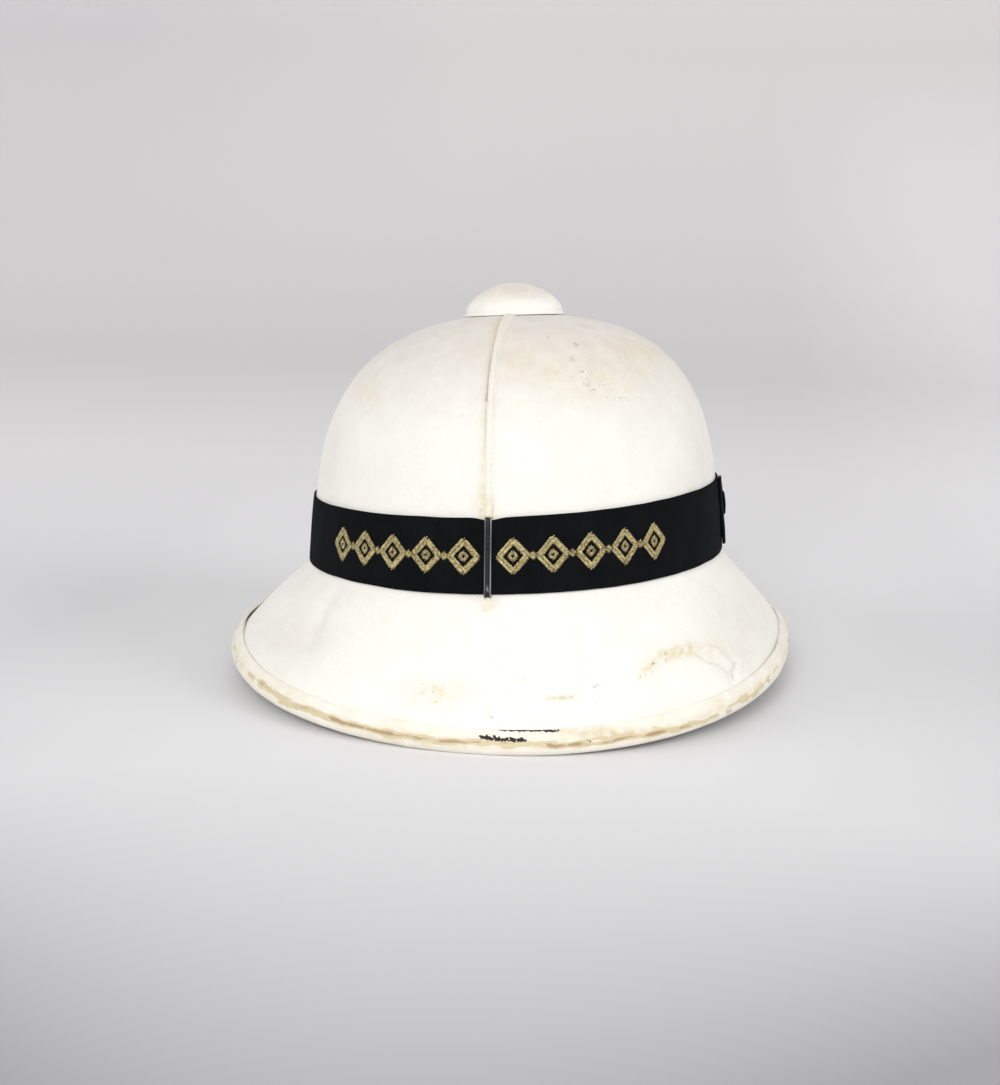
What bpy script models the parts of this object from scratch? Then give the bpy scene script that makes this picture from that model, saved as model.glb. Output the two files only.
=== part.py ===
"""A cloth-covered pith helmet with a bound brim, a ventilator button, a ribbon and its bow.

The helmet stands on its brim: +Z is up, the front looks towards -Y, and +X is the wearer's left.
Every plan angle is counted from the front (0) round by the wearer's left (pi / 2) to the back (pi).
Run it with: blender --background --python part.py
"""

import math

import bmesh
import bpy
from mathutils import Matrix, Vector

# Clearance between two pieces that touch
GAP = 0.0003

# Where the crown's axis stands, so that the middle of the whole helmet is on the origin
CROWN_AXIS_LEFT = -0.0001
CROWN_AXIS_FORWARD = 0.0183

# Crown, measured on the outside at the waist, where the crown meets the brim
CROWN_HALF_WIDTH = 0.0960
CROWN_FRONT = 0.1156
CROWN_BACK = 0.1179
CROWN_TOP = 0.1653
CROWN_ROUNDNESS = 2.0
WAIST_HEIGHT = 0.0537
WAIST_FRONT_LIFT = 0.0049
WAIST_LEFT_LIFT = 0.0048

# How the crown's side turns into its top: a higher shoulder keeps the side upright for longer
CROWN_SHOULDER = 3.705
CROWN_SQUARENESS = 2.57
CROWN_TAPER = 0.084

# The crown of this old helmet leans a little and its top slopes: up to the left and down to the back
CROWN_LEAN_LEFT = -0.0025
CROWN_LEAN_BACK = 0.0012
CROWN_SLOPE_LEFT = 0.0059
CROWN_SLOPE_FRONT = 0.0115
CROWN_SLOPE_POWER = 3.0

# Brim, measured to the outside of its binding
BRIM_HALF_WIDTH = 0.13025
BRIM_FRONT = 0.1455
BRIM_BACK = 0.1822
BRIM_ROUNDNESS = 2.25
BRIM_TURN = math.radians(-3.45)
BRIM_EAR_RISE = 0.0120
BRIM_RISE_POWER = 1.74
BRIM_DOME = 0.12

# Pith with its cloth on both sides
PITH_WALL = 0.0045

# Leather folded round the brim's edge, pressed flat where the helmet stands on it
BINDING_THICKNESS = 0.00135
BINDING_OUTER_LEG = 0.0052
BINDING_INNER_LEG = 0.0060
BINDING_PRESSED = 0.0005

# Ventilator button
BUTTON_RADIUS = 0.0225
BUTTON_HEIGHT = 0.0146
BUTTON_LEFT = -0.0012
BUTTON_WALL = 0.0020
BUTTON_LIP_WIDTH = 0.0004
BUTTON_LIP_HEIGHT = 0.0010
BUTTON_LIP_EDGE = 0.0006

# Lapped seams of the cover
SEAM_WIDTH = 0.0032
SEAM_THICKNESS = 0.0010
SEAM_CROWN = 0.0003
SEAM_COLUMNS = ((-0.5, 0.0), (0.0, 1.0), (0.5, 0.0))

# Ribbon round the crown
RIBBON_WIDTH = 0.0315
RIBBON_THICKNESS = 0.0010
RIBBON_LIFT = 0.0015
RIBBON_PINCH = 0.0013
RIBBON_PINCH_SPREAD = 0.0050
RIBBON_PINCH_SHARES = (-0.8, -0.5, -0.25, 0.25, 0.5, 0.8)

# Metal clip that holds the ribbon down over the front seam
CLIP_WIDTH = 0.0030
CLIP_THICKNESS = 0.0006
CLIP_RIM_WIDTH = 0.0005
CLIP_RIM_HEIGHT = 0.0003
CLIP_HOOK = 0.0011

# Bow over the wearer's left ear
BOW_ANGLE = math.radians(102.0)
BOW_LIFT = 0.0018
BOW_CLOTH = 0.0007
BOW_HALF_LENGTH = 0.0310
BOW_HEIGHT = 0.0310
BOW_WAIST_HEIGHT = 0.0100
BOW_LOOP_DEPTH = 0.0009
BOW_PINCHED_DEPTH = 0.0006
BOW_FULL_SHARE = 0.7
BOW_SHARES = (-1.0, -0.85, -0.7, -0.55, -0.4, -0.2, 0.0, 0.2, 0.4, 0.55, 0.7, 0.85, 1.0)
BOW_FOLD_DEGREES = (45.0, 90.0, 135.0)
KNOT_WIDTH = 0.0120
KNOT_BULGE = 0.0003
TAIL_LENGTH = 0.0320
TAIL_WIDTH = 0.0240
TAIL_NOTCH = 0.0070
TAIL_DROP = math.radians(4.0)
TAIL_SHARES = (0.0, 0.25, 0.5, 0.75, 1.0)

# Fineness of the meshes
PLAN_STEPS = 64
BUTTON_STEPS = 24
EDGE_STEPS = 8
DOME_STEPS = 6
SEAM_STEPS = 16
SMOOTH_ANGLE = math.radians(40.0)
SLOPE_STEP = 1e-4
MERGE_DISTANCE = 5e-5

# Rows of the crown from top to ribbon, as degrees of a quarter turn: 0 is the top, 90 the waist
CROWN_ROWS = (4.0, 8.0, 13.0, 19.0, 26.0, 34.0, 43.0, 53.0, 63.0)

# Rows of the ribbon from top to bottom, and of the brim from waist to binding, as shares
RIBBON_ROWS = (1.0, 0.5, 0.0)
BRIM_ROWS = (0.0, 0.10, 0.30, 0.52, 0.76)

# Materials: colour, roughness, metallic
FINISHES = {
    "white_cloth": ((0.86, 0.85, 0.80), 0.85, 0.0),
    "button_cloth": ((0.84, 0.82, 0.77), 0.85, 0.0),
    "seam_cloth": ((0.85, 0.83, 0.77), 0.85, 0.0),
    "binding_leather": ((0.80, 0.76, 0.66), 0.70, 0.0),
    "black_ribbon": ((0.012, 0.014, 0.018), 0.60, 0.0),
    "clip_metal": ((0.12, 0.13, 0.14), 0.40, 0.5),
}


def heading(angle):
    """Unit vector in plan at an angle from the front."""
    return Vector((math.sin(angle), -math.cos(angle), 0.0))


def oval(angle, half_width, front, back, roundness):
    """Distance from the centre to an egg-shaped plan outline."""
    along = front if math.cos(angle) > 0.0 else back
    across_share = abs(math.sin(angle) / half_width) ** roundness
    along_share = abs(math.cos(angle) / along) ** roundness
    return (across_share + along_share) ** (-1.0 / roundness)


def waist_radius(angle):
    """Distance from the centre to the outside of the crown at its waist."""
    return oval(angle, CROWN_HALF_WIDTH, CROWN_FRONT, CROWN_BACK, CROWN_ROUNDNESS)


def waist_height(angle):
    """Height of the line where the crown meets the brim."""
    return WAIST_HEIGHT + WAIST_FRONT_LIFT * math.cos(angle) + WAIST_LEFT_LIFT * math.sin(angle)


def crown_point(angle, climb):
    """Point of the crown's outside; climb is 0 at the waist and 1 at the top."""
    spread = (1.0 - climb ** CROWN_SHOULDER) ** (1.0 / CROWN_SQUARENESS) * (1.0 - CROWN_TAPER * climb)
    waist = waist_height(angle)
    slope = CROWN_SLOPE_LEFT * math.sin(angle) * climb
    slope += CROWN_SLOPE_FRONT * math.cos(angle) * climb ** CROWN_SLOPE_POWER
    point = heading(angle) * (waist_radius(angle) * spread)
    point.x += CROWN_LEAN_LEFT * climb
    point.y += CROWN_LEAN_BACK * climb
    point.z = waist + (CROWN_TOP - waist) * climb + slope * spread
    return point


def crown_frame(angle, height):
    """Point, outward normal and upward direction of the crown at a height above its waist."""
    rise = CROWN_TOP - waist_height(angle)
    climb = height / rise
    point = crown_point(angle, climb)
    along = crown_point(angle + SLOPE_STEP, climb) - crown_point(angle - SLOPE_STEP, climb)
    up = (crown_point(angle, climb + SLOPE_STEP) - point).normalized()
    normal = along.cross(up).normalized()
    return point, normal, up


def on_crown(angle, height, stand_off):
    """Point at a stand-off from the crown's outside."""
    point, normal, _ = crown_frame(angle, height)
    return point + normal * stand_off


def binding_radius():
    """Outside radius of the rolled edge."""
    return PITH_WALL / 2.0 + GAP + BINDING_THICKNESS


def edge_centre(angle):
    """Middle of the pith wall at the brim's edge."""
    reach = oval(angle - BRIM_TURN, BRIM_HALF_WIDTH, BRIM_FRONT, BRIM_BACK, BRIM_ROUNDNESS)
    point = heading(angle) * (reach - binding_radius())
    rise = BRIM_EAR_RISE * abs(math.sin(angle)) ** BRIM_RISE_POWER
    point.z = rise + binding_radius() - BINDING_PRESSED
    return point


def brim_middle(angle, reach):
    """Point half a wall inside the brim's outer face at its edge and on that face at the waist."""
    start = crown_point(angle, 0.0)
    end = edge_centre(angle)
    fall = reach - BRIM_DOME * reach * (1.0 - reach)
    point = start.lerp(end, reach)
    point.z = start.z + (end.z - start.z) * fall
    return point


def brim_normal(angle, reach):
    """Outward normal of the brim's slope."""
    along = brim_middle(angle + SLOPE_STEP, reach) - brim_middle(angle - SLOPE_STEP, reach)
    down = brim_middle(angle, reach + SLOPE_STEP) - brim_middle(angle, reach - SLOPE_STEP)
    return down.cross(along).normalized()


def brim_point(angle, reach):
    """Point of the brim's outer face; reach is 0 at the waist and 1 at the cut edge."""
    return brim_middle(angle, reach) + brim_normal(angle, reach) * (PITH_WALL / 2.0 * reach)


def binding_reach(angle):
    """Share of the brim's slope at which the binding's outer leg ends."""
    slant = (edge_centre(angle) - crown_point(angle, 0.0)).length
    return 1.0 - BINDING_OUTER_LEG / slant


def edge_frame(angle):
    """Corner of the brim's outer face at its cut edge, with the last facet's normal and slope."""
    corner = brim_point(angle, 1.0)
    down = (corner - brim_point(angle, binding_reach(angle))).normalized()
    along = brim_point(angle + SLOPE_STEP, 1.0) - brim_point(angle - SLOPE_STEP, 1.0)
    return corner, down.cross(along).normalized(), down


def plan_angles(steps):
    """Angles all the way round the plan."""
    return [2.0 * math.pi * i / steps for i in range(steps)]


def smooth_step(value):
    """Eased share between 0 and 1."""
    share = min(max(value, 0.0), 1.0)
    return share * share * (3.0 - 2.0 * share)


def sheet_mesh(name, rows, closed_rows=False, pole=None):
    """Open sheet of quads through rows of points, each row as long as the next.

    closed_rows joins the last point of every row to its first, and pole is a point that closes
    the first row with a fan.
    """
    mesh = bpy.data.meshes.new(name)
    sheet = bmesh.new()
    grid = [[sheet.verts.new(point) for point in row] for row in rows]
    column_count = len(grid[0])
    column_pairs = column_count if closed_rows else column_count - 1
    for upper, lower in zip(grid, grid[1:]):
        for c in range(column_pairs):
            d = (c + 1) % column_count
            sheet.faces.new((upper[c], lower[c], lower[d], upper[d]))
    if pole is not None:
        tip = sheet.verts.new(pole)
        for c in range(column_pairs):
            sheet.faces.new((tip, grid[0][c], grid[0][(c + 1) % column_count]))
    sheet.to_mesh(mesh)
    sheet.free()
    return mesh


def crown_axis():
    """Foot of the crown's axis; all shapes are drawn round it."""
    return Vector((CROWN_AXIS_LEFT, -CROWN_AXIS_FORWARD, 0.0))


def add_piece(name, mesh, finish, wall=0.0, offset=-1.0):
    """Object of one piece; a wall above 0 gives an open sheet its thickness, inwards by default."""
    piece = bpy.data.objects.new(name, mesh)
    piece.location = crown_axis()
    HELMET.objects.link(piece)
    mesh.materials.append(material(finish))
    mesh.shade_smooth()
    mesh.set_sharp_from_angle(angle=SMOOTH_ANGLE)
    if wall > 0.0:
        solidify = piece.modifiers.new("wall", "SOLIDIFY")
        solidify.thickness = wall
        solidify.offset = offset
        solidify.use_even_offset = True
        solidify.use_rim = True
    return piece


def material(finish):
    """Principled material of a named finish, made once."""
    existing = bpy.data.materials.get(finish)
    if existing:
        return existing
    colour, roughness, metallic = FINISHES[finish]
    made = bpy.data.materials.new(finish)
    made.use_nodes = True
    shader = made.node_tree.nodes["Principled BSDF"]
    shader.inputs["Base Color"].default_value = (*colour, 1.0)
    shader.inputs["Roughness"].default_value = roughness
    shader.inputs["Metallic"].default_value = metallic
    made.diffuse_color = (*colour, 1.0)
    return made


def ribbon_height(angle, share):
    """Height above the waist of a point of the ribbon; the clip pinches its top edge in front."""
    from_seam = waist_radius(angle) * math.sin(angle)
    pinch = 0.0
    if math.cos(angle) > 0.0:
        pinch = RIBBON_PINCH * math.exp(-((from_seam / RIBBON_PINCH_SPREAD) ** 2))
    return RIBBON_LIFT + (RIBBON_WIDTH - pinch) * share


def build_shell():
    """Crown and brim: one pith wall, open below."""
    angles = plan_angles(PLAN_STEPS)
    rows = []
    for degrees in CROWN_ROWS:
        climb = math.cos(math.radians(degrees))
        rows.append([crown_point(angle, climb) for angle in angles])
    for share in RIBBON_ROWS:
        height = RIBBON_LIFT + RIBBON_WIDTH * share
        rows.append([on_crown(angle, height, 0.0) for angle in angles])
    for share in BRIM_ROWS:
        rows.append([brim_point(angle, share) for angle in angles])
    rows.append([brim_point(angle, binding_reach(angle)) for angle in angles])
    rows.append([brim_point(angle, 1.0) for angle in angles])
    top = Vector((CROWN_LEAN_LEFT, CROWN_LEAN_BACK, CROWN_TOP))
    mesh = sheet_mesh("shell", rows, closed_rows=True, pole=top)
    add_piece("shell", mesh, "white_cloth", wall=PITH_WALL)


def build_binding():
    """Strip folded round the brim's edge: outer leg, rolled edge, inner leg."""
    radius = binding_radius()
    angles = plan_angles(PLAN_STEPS)
    rows = [[] for _ in range(EDGE_STEPS + 3)]
    for angle in angles:
        leg_start = brim_point(angle, binding_reach(angle))
        leg_end, normal, down = edge_frame(angle)
        centre = leg_end - normal * (PITH_WALL / 2.0)
        points = [leg_start + normal * (GAP + BINDING_THICKNESS)]
        for step in range(EDGE_STEPS + 1):
            turn = math.pi * step / EDGE_STEPS
            points.append(centre + (normal * math.cos(turn) + down * math.sin(turn)) * radius)
        points.append(points[-1] - down * BINDING_INNER_LEG)
        for row, point in zip(rows, points):
            point.z = max(point.z, 0.0)
            row.append(point)
    mesh = sheet_mesh("binding", rows, closed_rows=True)
    add_piece("binding", mesh, "binding_leather", wall=BINDING_THICKNESS)


def button_axis():
    """Placement of the button: upright on the sloping top of the crown."""
    roll = math.atan2(CROWN_SLOPE_LEFT, CROWN_HALF_WIDTH)
    pitch = math.atan2(CROWN_SLOPE_FRONT, CROWN_FRONT)
    seat = crown_axis() + Vector((CROWN_LEAN_LEFT + BUTTON_LEFT, CROWN_LEAN_BACK, CROWN_TOP + GAP))
    turn = Matrix.Rotation(-roll, 4, "Y") @ Matrix.Rotation(-pitch, 4, "X")
    return Matrix.Translation(seat) @ turn


def build_button():
    """Domed ventilator cap with a thin lip, turned about its axis."""
    profile = [Vector((0.0, 0.0, BUTTON_HEIGHT))]
    dome_height = BUTTON_HEIGHT - BUTTON_LIP_HEIGHT
    for step in range(1, DOME_STEPS + 1):
        turn = math.pi / 2.0 * (1.0 - step / DOME_STEPS)
        profile.append(Vector((BUTTON_RADIUS * math.cos(turn), 0.0,
                               BUTTON_LIP_HEIGHT + dome_height * math.sin(turn))))
    profile.append(Vector((BUTTON_RADIUS + BUTTON_LIP_WIDTH, 0.0, BUTTON_LIP_EDGE)))
    profile.append(Vector((BUTTON_RADIUS + BUTTON_LIP_WIDTH, 0.0, 0.0)))
    mesh = bpy.data.meshes.new("button")
    mesh.from_pydata(profile, [(i, i + 1) for i in range(len(profile) - 1)], [])
    button = bpy.data.objects.new("button", mesh)
    HELMET.objects.link(button)
    mesh.materials.append(material("button_cloth"))
    screw = button.modifiers.new("turn", "SCREW")
    screw.axis = "Z"
    screw.steps = BUTTON_STEPS
    screw.render_steps = BUTTON_STEPS
    screw.use_merge_vertices = True
    screw.merge_threshold = MERGE_DISTANCE
    screw.use_smooth_shade = True
    wall = button.modifiers.new("wall", "SOLIDIFY")
    wall.thickness = BUTTON_WALL
    wall.offset = -1.0
    wall.use_even_offset = True
    button.matrix_world = button_axis()


def seam_strip(name, middle_angle, above_ribbon):
    """Raised strip up the crown from a clearance above the ribbon to the button."""
    side = 1.0 if math.cos(middle_angle) > 0.0 else -1.0
    rise = CROWN_TOP - waist_height(middle_angle)
    lowest = ribbon_height(middle_angle, 1.0) + above_ribbon
    rim = (BUTTON_RADIUS + BUTTON_LIP_WIDTH + 2.0 * GAP) / waist_radius(middle_angle)
    highest = (1.0 - (rim / (1.0 - CROWN_TAPER)) ** CROWN_SQUARENESS) ** (1.0 / CROWN_SHOULDER)
    start = math.acos(lowest / rise)
    end = math.acos(highest)
    rows = []
    for step in range(SEAM_STEPS + 1):
        climb = math.cos(end + (start - end) * step / SEAM_STEPS)
        point, normal, _ = crown_frame(middle_angle, climb * rise)
        row = []
        for share, crown in SEAM_COLUMNS:
            across = Vector((side, 0.0, 0.0)) * (share * SEAM_WIDTH)
            stand_off = GAP + SEAM_THICKNESS + SEAM_CROWN * crown
            row.append(point + across + normal * stand_off)
        rows.append(row)
    mesh = sheet_mesh(name, rows)
    add_piece(name, mesh, "seam_cloth", wall=SEAM_THICKNESS)


def ribbon_angles():
    """Plan steps of the ribbon, with more of them where the clip pinches it."""
    step = 2.0 * math.pi / PLAN_STEPS
    extra = [step * share for share in RIBBON_PINCH_SHARES]
    return sorted(angle % (2.0 * math.pi) for angle in plan_angles(PLAN_STEPS) + extra)


def build_ribbon():
    """Ribbon round the crown, with its lower edge just above the brim."""
    stand_off = GAP + RIBBON_THICKNESS
    rows = []
    for share in RIBBON_ROWS:
        rows.append([on_crown(angle, ribbon_height(angle, share), stand_off)
                     for angle in ribbon_angles()])
    mesh = sheet_mesh("ribbon", rows, closed_rows=True)
    add_piece("ribbon", mesh, "black_ribbon", wall=RIBBON_THICKNESS)


def build_clip():
    """Slim metal bar with rolled rims, hooked over both edges of the ribbon."""
    face = 2.0 * GAP + RIBBON_THICKNESS + CLIP_THICKNESS
    hook = face - CLIP_HOOK
    reach = GAP + CLIP_THICKNESS
    top = ribbon_height(0.0, 1.0)
    bottom = ribbon_height(0.0, 0.0)
    middle = (top + bottom) / 2.0
    path = ((top, reach, hook), (top, reach, face), (middle, 0.0, face), (bottom, -reach, face),
            (bottom, -reach, hook))
    half = CLIP_WIDTH / 2.0
    inner = half - CLIP_RIM_WIDTH
    columns = ((-half, CLIP_RIM_HEIGHT), (-inner, 0.0), (inner, 0.0), (half, CLIP_RIM_HEIGHT))
    rows = []
    for height, shift, stand_off in path:
        point, normal, up = crown_frame(0.0, height)
        centre = point + up * shift + normal * stand_off
        raised = 1.0 if stand_off == face else 0.0
        rows.append([centre + Vector((across, 0.0, 0.0)) + normal * (rim * raised)
                     for across, rim in columns])
    mesh = sheet_mesh("ribbon_clip", rows)
    add_piece("ribbon_clip", mesh, "clip_metal", wall=CLIP_THICKNESS)


def on_bow(forward, above, stand_off):
    """Point near the bow: forward along the ribbon, above its middle, out from its face."""
    angle = BOW_ANGLE - forward / (CROWN_HALF_WIDTH + RIBBON_THICKNESS)
    middle = ribbon_height(BOW_ANGLE, 0.5) + BOW_LIFT
    point, normal, up = crown_frame(angle, middle)
    return point + up * above + normal * (GAP + RIBBON_THICKNESS + stand_off)


def bow_layer(forward, at_end, at_knot):
    """Stand-off of a loop's layer: pinched near the knot and free at the end."""
    knot_edge = KNOT_WIDTH / 2.0 + GAP
    free_from = knot_edge + KNOT_WIDTH / 2.0
    ease = smooth_step((abs(forward) - knot_edge) / (free_from - knot_edge))
    return at_knot + (at_end - at_knot) * ease


def bow_half_height(forward):
    """Half of the loops' height: gathered at the knot, full at the ends."""
    knot_edge = KNOT_WIDTH / 2.0 + GAP
    full_from = BOW_HALF_LENGTH * BOW_FULL_SHARE
    ease = smooth_step((abs(forward) - knot_edge) / (full_from - knot_edge))
    return BOW_WAIST_HEIGHT / 2.0 + (BOW_HEIGHT - BOW_WAIST_HEIGHT) / 2.0 * ease


def build_bow_loops():
    """Both loops: one band of ribbon, folded at the ends and gathered in the middle."""
    half_cloth = BOW_CLOTH / 2.0
    knot_layer = 2.0 * GAP + BOW_CLOTH + half_cloth
    front_layer = GAP + half_cloth
    rear_layer = knot_layer
    fold = BOW_LOOP_DEPTH / 2.0
    straight = BOW_HALF_LENGTH - fold - half_cloth
    path = []
    for share in BOW_SHARES:
        forward = straight * share
        end = (front_layer if forward > 0.0 else rear_layer) + BOW_LOOP_DEPTH
        path.append((forward, bow_layer(forward, end, knot_layer + BOW_PINCHED_DEPTH)))
    for turn in BOW_FOLD_DEGREES:
        path.append((straight + fold * math.sin(math.radians(turn)),
                     front_layer + fold + fold * math.cos(math.radians(turn))))
    for share in reversed(BOW_SHARES):
        forward = straight * share
        end = front_layer if forward > 0.0 else rear_layer
        path.append((forward, bow_layer(forward, end, knot_layer)))
    for turn in reversed(BOW_FOLD_DEGREES):
        path.append((-straight - fold * math.sin(math.radians(turn)),
                     rear_layer + fold + fold * math.cos(math.radians(turn))))
    rows = []
    for level in (1.0, 0.0, -1.0):
        rows.append([on_bow(forward, level * bow_half_height(forward), stand_off)
                     for forward, stand_off in path])
    mesh = sheet_mesh("bow_loops", rows, closed_rows=True)
    add_piece("bow_loops", mesh, "black_ribbon", wall=BOW_CLOTH, offset=0.0)


def build_bow_knot():
    """Band wrapped round the gathered middle of the bow."""
    half_cloth = BOW_CLOTH / 2.0
    low = GAP + half_cloth
    under_loops = 2.0 * GAP + BOW_CLOTH
    high = under_loops + BOW_CLOTH + BOW_PINCHED_DEPTH + GAP + BOW_CLOTH + half_cloth
    tall = BOW_WAIST_HEIGHT / 2.0 + GAP + half_cloth
    corner = half_cloth
    path = ((-tall + corner, low), (tall - corner, low), (tall, low + corner), (tall, high - corner),
            (tall - corner, high), (0.0, high + KNOT_BULGE), (-tall + corner, high), (-tall, high - corner),
            (-tall, low + corner))
    rows = []
    for share in (-0.5, 0.0, 0.5):
        rows.append([on_bow(KNOT_WIDTH * share, above, stand_off) for above, stand_off in path])
    mesh = sheet_mesh("bow_knot", rows, closed_rows=True)
    add_piece("bow_knot", mesh, "black_ribbon", wall=BOW_CLOTH, offset=0.0)


def build_bow_tail():
    """Flat end of the ribbon behind the rear loop, notched like a swallow's tail."""
    stand_off = GAP + BOW_CLOTH / 2.0
    start = -(KNOT_WIDTH / 2.0 + GAP)
    rows = []
    for level in (1.0, 0.0, -1.0):
        row = []
        for share in TAIL_SHARES:
            notch = TAIL_NOTCH * (1.0 - abs(level)) * smooth_step(share)
            backward = TAIL_LENGTH * share - notch
            spread = BOW_WAIST_HEIGHT + (TAIL_WIDTH - BOW_WAIST_HEIGHT) * smooth_step(2.0 * share)
            above = level * spread / 2.0 - backward * math.tan(TAIL_DROP)
            row.append(on_bow(start - backward, above, stand_off))
        rows.append(row)
    mesh = sheet_mesh("bow_tail", rows)
    add_piece("bow_tail", mesh, "black_ribbon", wall=BOW_CLOTH, offset=0.0)


def clear_scene():
    """Removes what the file starts with."""
    for existing in list(bpy.data.objects):
        bpy.data.objects.remove(existing, do_unlink=True)


clear_scene()
HELMET = bpy.data.collections.new("pith_helmet")
bpy.context.scene.collection.children.link(HELMET)
build_shell()
build_binding()
build_button()
seam_strip("front_seam", 0.0, 2.0 * GAP + CLIP_THICKNESS)
seam_strip("back_seam", math.pi, GAP)
build_ribbon()
build_clip()
build_bow_loops()
build_bow_knot()
build_bow_tail()
bpy.context.view_layer.update()
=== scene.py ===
"""Looks of a white pith helmet with a black ribbon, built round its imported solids.

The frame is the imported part's own: +Z is up, the front looks towards -Y and +X is the wearer's left.
Plan angles are counted from the front (0) round by the wearer's left (pi / 2) to the back (pi).
Lengths are in metres unless a name says otherwise.
"""

import logging
import math
from dataclasses import dataclass, field
from enum import Enum
from typing import Iterable, Optional, Sequence

import bpy
import numpy as np
from mathutils import Matrix, Vector, noise


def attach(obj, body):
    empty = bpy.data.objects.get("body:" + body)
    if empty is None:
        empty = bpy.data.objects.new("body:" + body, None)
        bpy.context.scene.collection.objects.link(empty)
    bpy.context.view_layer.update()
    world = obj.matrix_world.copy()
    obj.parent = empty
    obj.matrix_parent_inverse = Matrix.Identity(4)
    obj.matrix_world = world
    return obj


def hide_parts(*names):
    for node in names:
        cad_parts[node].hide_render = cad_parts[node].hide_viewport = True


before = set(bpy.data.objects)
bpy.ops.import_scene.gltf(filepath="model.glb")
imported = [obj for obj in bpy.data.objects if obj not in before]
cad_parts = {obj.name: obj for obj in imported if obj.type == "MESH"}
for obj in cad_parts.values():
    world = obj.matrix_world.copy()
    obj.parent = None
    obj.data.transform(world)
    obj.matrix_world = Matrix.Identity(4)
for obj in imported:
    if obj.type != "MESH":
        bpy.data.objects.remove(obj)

Array = np.ndarray
Colour = tuple[float, float, float]
Pixel = tuple[float, float]
LOG = logging.getLogger("pith_helmet")
MM = 0.001


def smooth_step(values: Array, start: float, end: float) -> Array:
    """Eased share of a value between two limits.

    Args:
        values: The values to place.
        start: Where the share is 0.
        end: Where the share is 1.

    Returns:
        Shares from 0 to 1.
    """
    share = np.clip((values - start) / (end - start), 0.0, 1.0)
    return share * share * (3.0 - 2.0 * share)


def bell(values: Array, centre: float, spread: float) -> Array:
    """Bell curve of height 1.

    Args:
        values: Where it is read.
        centre: Place of its top.
        spread: Distance at which it has fallen to 37 percent.

    Returns:
        The curve's heights.
    """
    return np.exp(-(((values - centre) / spread) ** 2))


def ripple(points: Array, size: float, seed: int) -> Array:
    """Smooth random value between about -1 and 1 at each point.

    Args:
        points: Points in space, shape (..., 3).
        size: Length of one wave.
        seed: Number that picks the pattern.

    Returns:
        One value for each point.
    """
    shift = Vector((17.3, 5.1, 9.7)) * seed
    values = [noise.noise(Vector(point) + shift) for point in (points.reshape(-1, 3) / size).tolist()]
    return np.array(values).reshape(points.shape[:-1])


def unit(vectors: Array) -> Array:
    """Vectors scaled to length 1."""
    return vectors / np.maximum(np.linalg.norm(vectors, axis=-1, keepdims=True), 1e-12)


@dataclass(frozen=True)
class PhotoCamera:
    """Camera that looks at the helmet as the photo does."""

    turn: float = math.radians(5.6604)
    distance: float = 0.85347
    height: float = 0.2417
    pitch: float = math.radians(12.1867)
    yaw: float = math.radians(0.5360)
    roll: float = math.radians(1.2232)
    focal_px: float = 1834.3
    width_px: float = 1000.0
    height_px: float = 1085.0
    sensor_mm: float = 36.0
    aim_foot: tuple[float, float] = (-0.0001, -0.0183)

    def place(self) -> Array:
        """Camera's position."""
        return np.array([self.aim_foot[0] + self.distance * math.sin(self.turn),
                         self.aim_foot[1] - self.distance * math.cos(self.turn), self.height])

    def axes(self) -> tuple[Array, Array, Array]:
        """Directions of the picture's right and up, and of the view."""
        heading = self.turn + self.yaw
        ahead = np.array([-math.sin(heading) * math.cos(self.pitch),
                          math.cos(heading) * math.cos(self.pitch), -math.sin(self.pitch)])
        level = np.array([math.cos(heading), math.sin(heading), 0.0])
        upright = np.cross(level, ahead)
        right = math.cos(self.roll) * level + math.sin(self.roll) * upright
        up = math.cos(self.roll) * upright - math.sin(self.roll) * level
        return right, up, ahead

    def picture(self, points: Array) -> tuple[Array, Array]:
        """Where points fall in the photo.

        Args:
            points: Points in space, shape (..., 3).

        Returns:
            Columns and rows in the photo's pixels.
        """
        right, up, ahead = self.axes()
        away = points - self.place()
        depth = away @ ahead
        column = self.width_px / 2.0 + self.focal_px * (away @ right) / depth
        row = self.height_px / 2.0 - self.focal_px * (away @ up) / depth
        return column, row

    def facing(self, points: Array, normals: Array) -> Array:
        """Share from 0 to 1 that says how well the camera sees each point's surface."""
        towards = unit(self.place() - points)
        return smooth_step((towards * normals).sum(-1), 0.02, 0.20)

    def build(self) -> bpy.types.Object:
        """Puts the camera in the scene.

        Returns:
            The camera object, set as the scene's camera.
        """
        right, up, ahead = self.axes()
        data = bpy.data.cameras.new("photo_camera")
        data.sensor_width = self.sensor_mm
        data.lens = self.sensor_mm * self.focal_px / self.height_px
        data.dof.use_dof = False
        camera = bpy.data.objects.new("photo_camera", data)
        bpy.context.scene.collection.objects.link(camera)
        turn = Matrix((right, up, -ahead)).transposed().to_4x4()
        camera.matrix_world = Matrix.Translation(Vector(self.place())) @ turn
        bpy.context.scene.camera = camera
        return camera


class Trace(Enum):
    """What a mark changes, whether wear, painted shade or a painted highlight; the value is the name of the mesh's
    layer.
    """

    TAN = "tan_stain"
    # The grey layer is mostly painted shade on the tops and sides that turn from the light, with a little real soil.
    GREY = "grey_shade_and_soil"
    FLECKS = "dark_flecks"
    DARK = "dark_mark"
    # This layer holds real wear on the binding and a painted highlight on the clip's rims.
    WEAR_AND_HIGHLIGHT = "worn_leather"
    BARE = "bare_patch"
    RELIEF = "relief"


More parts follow.
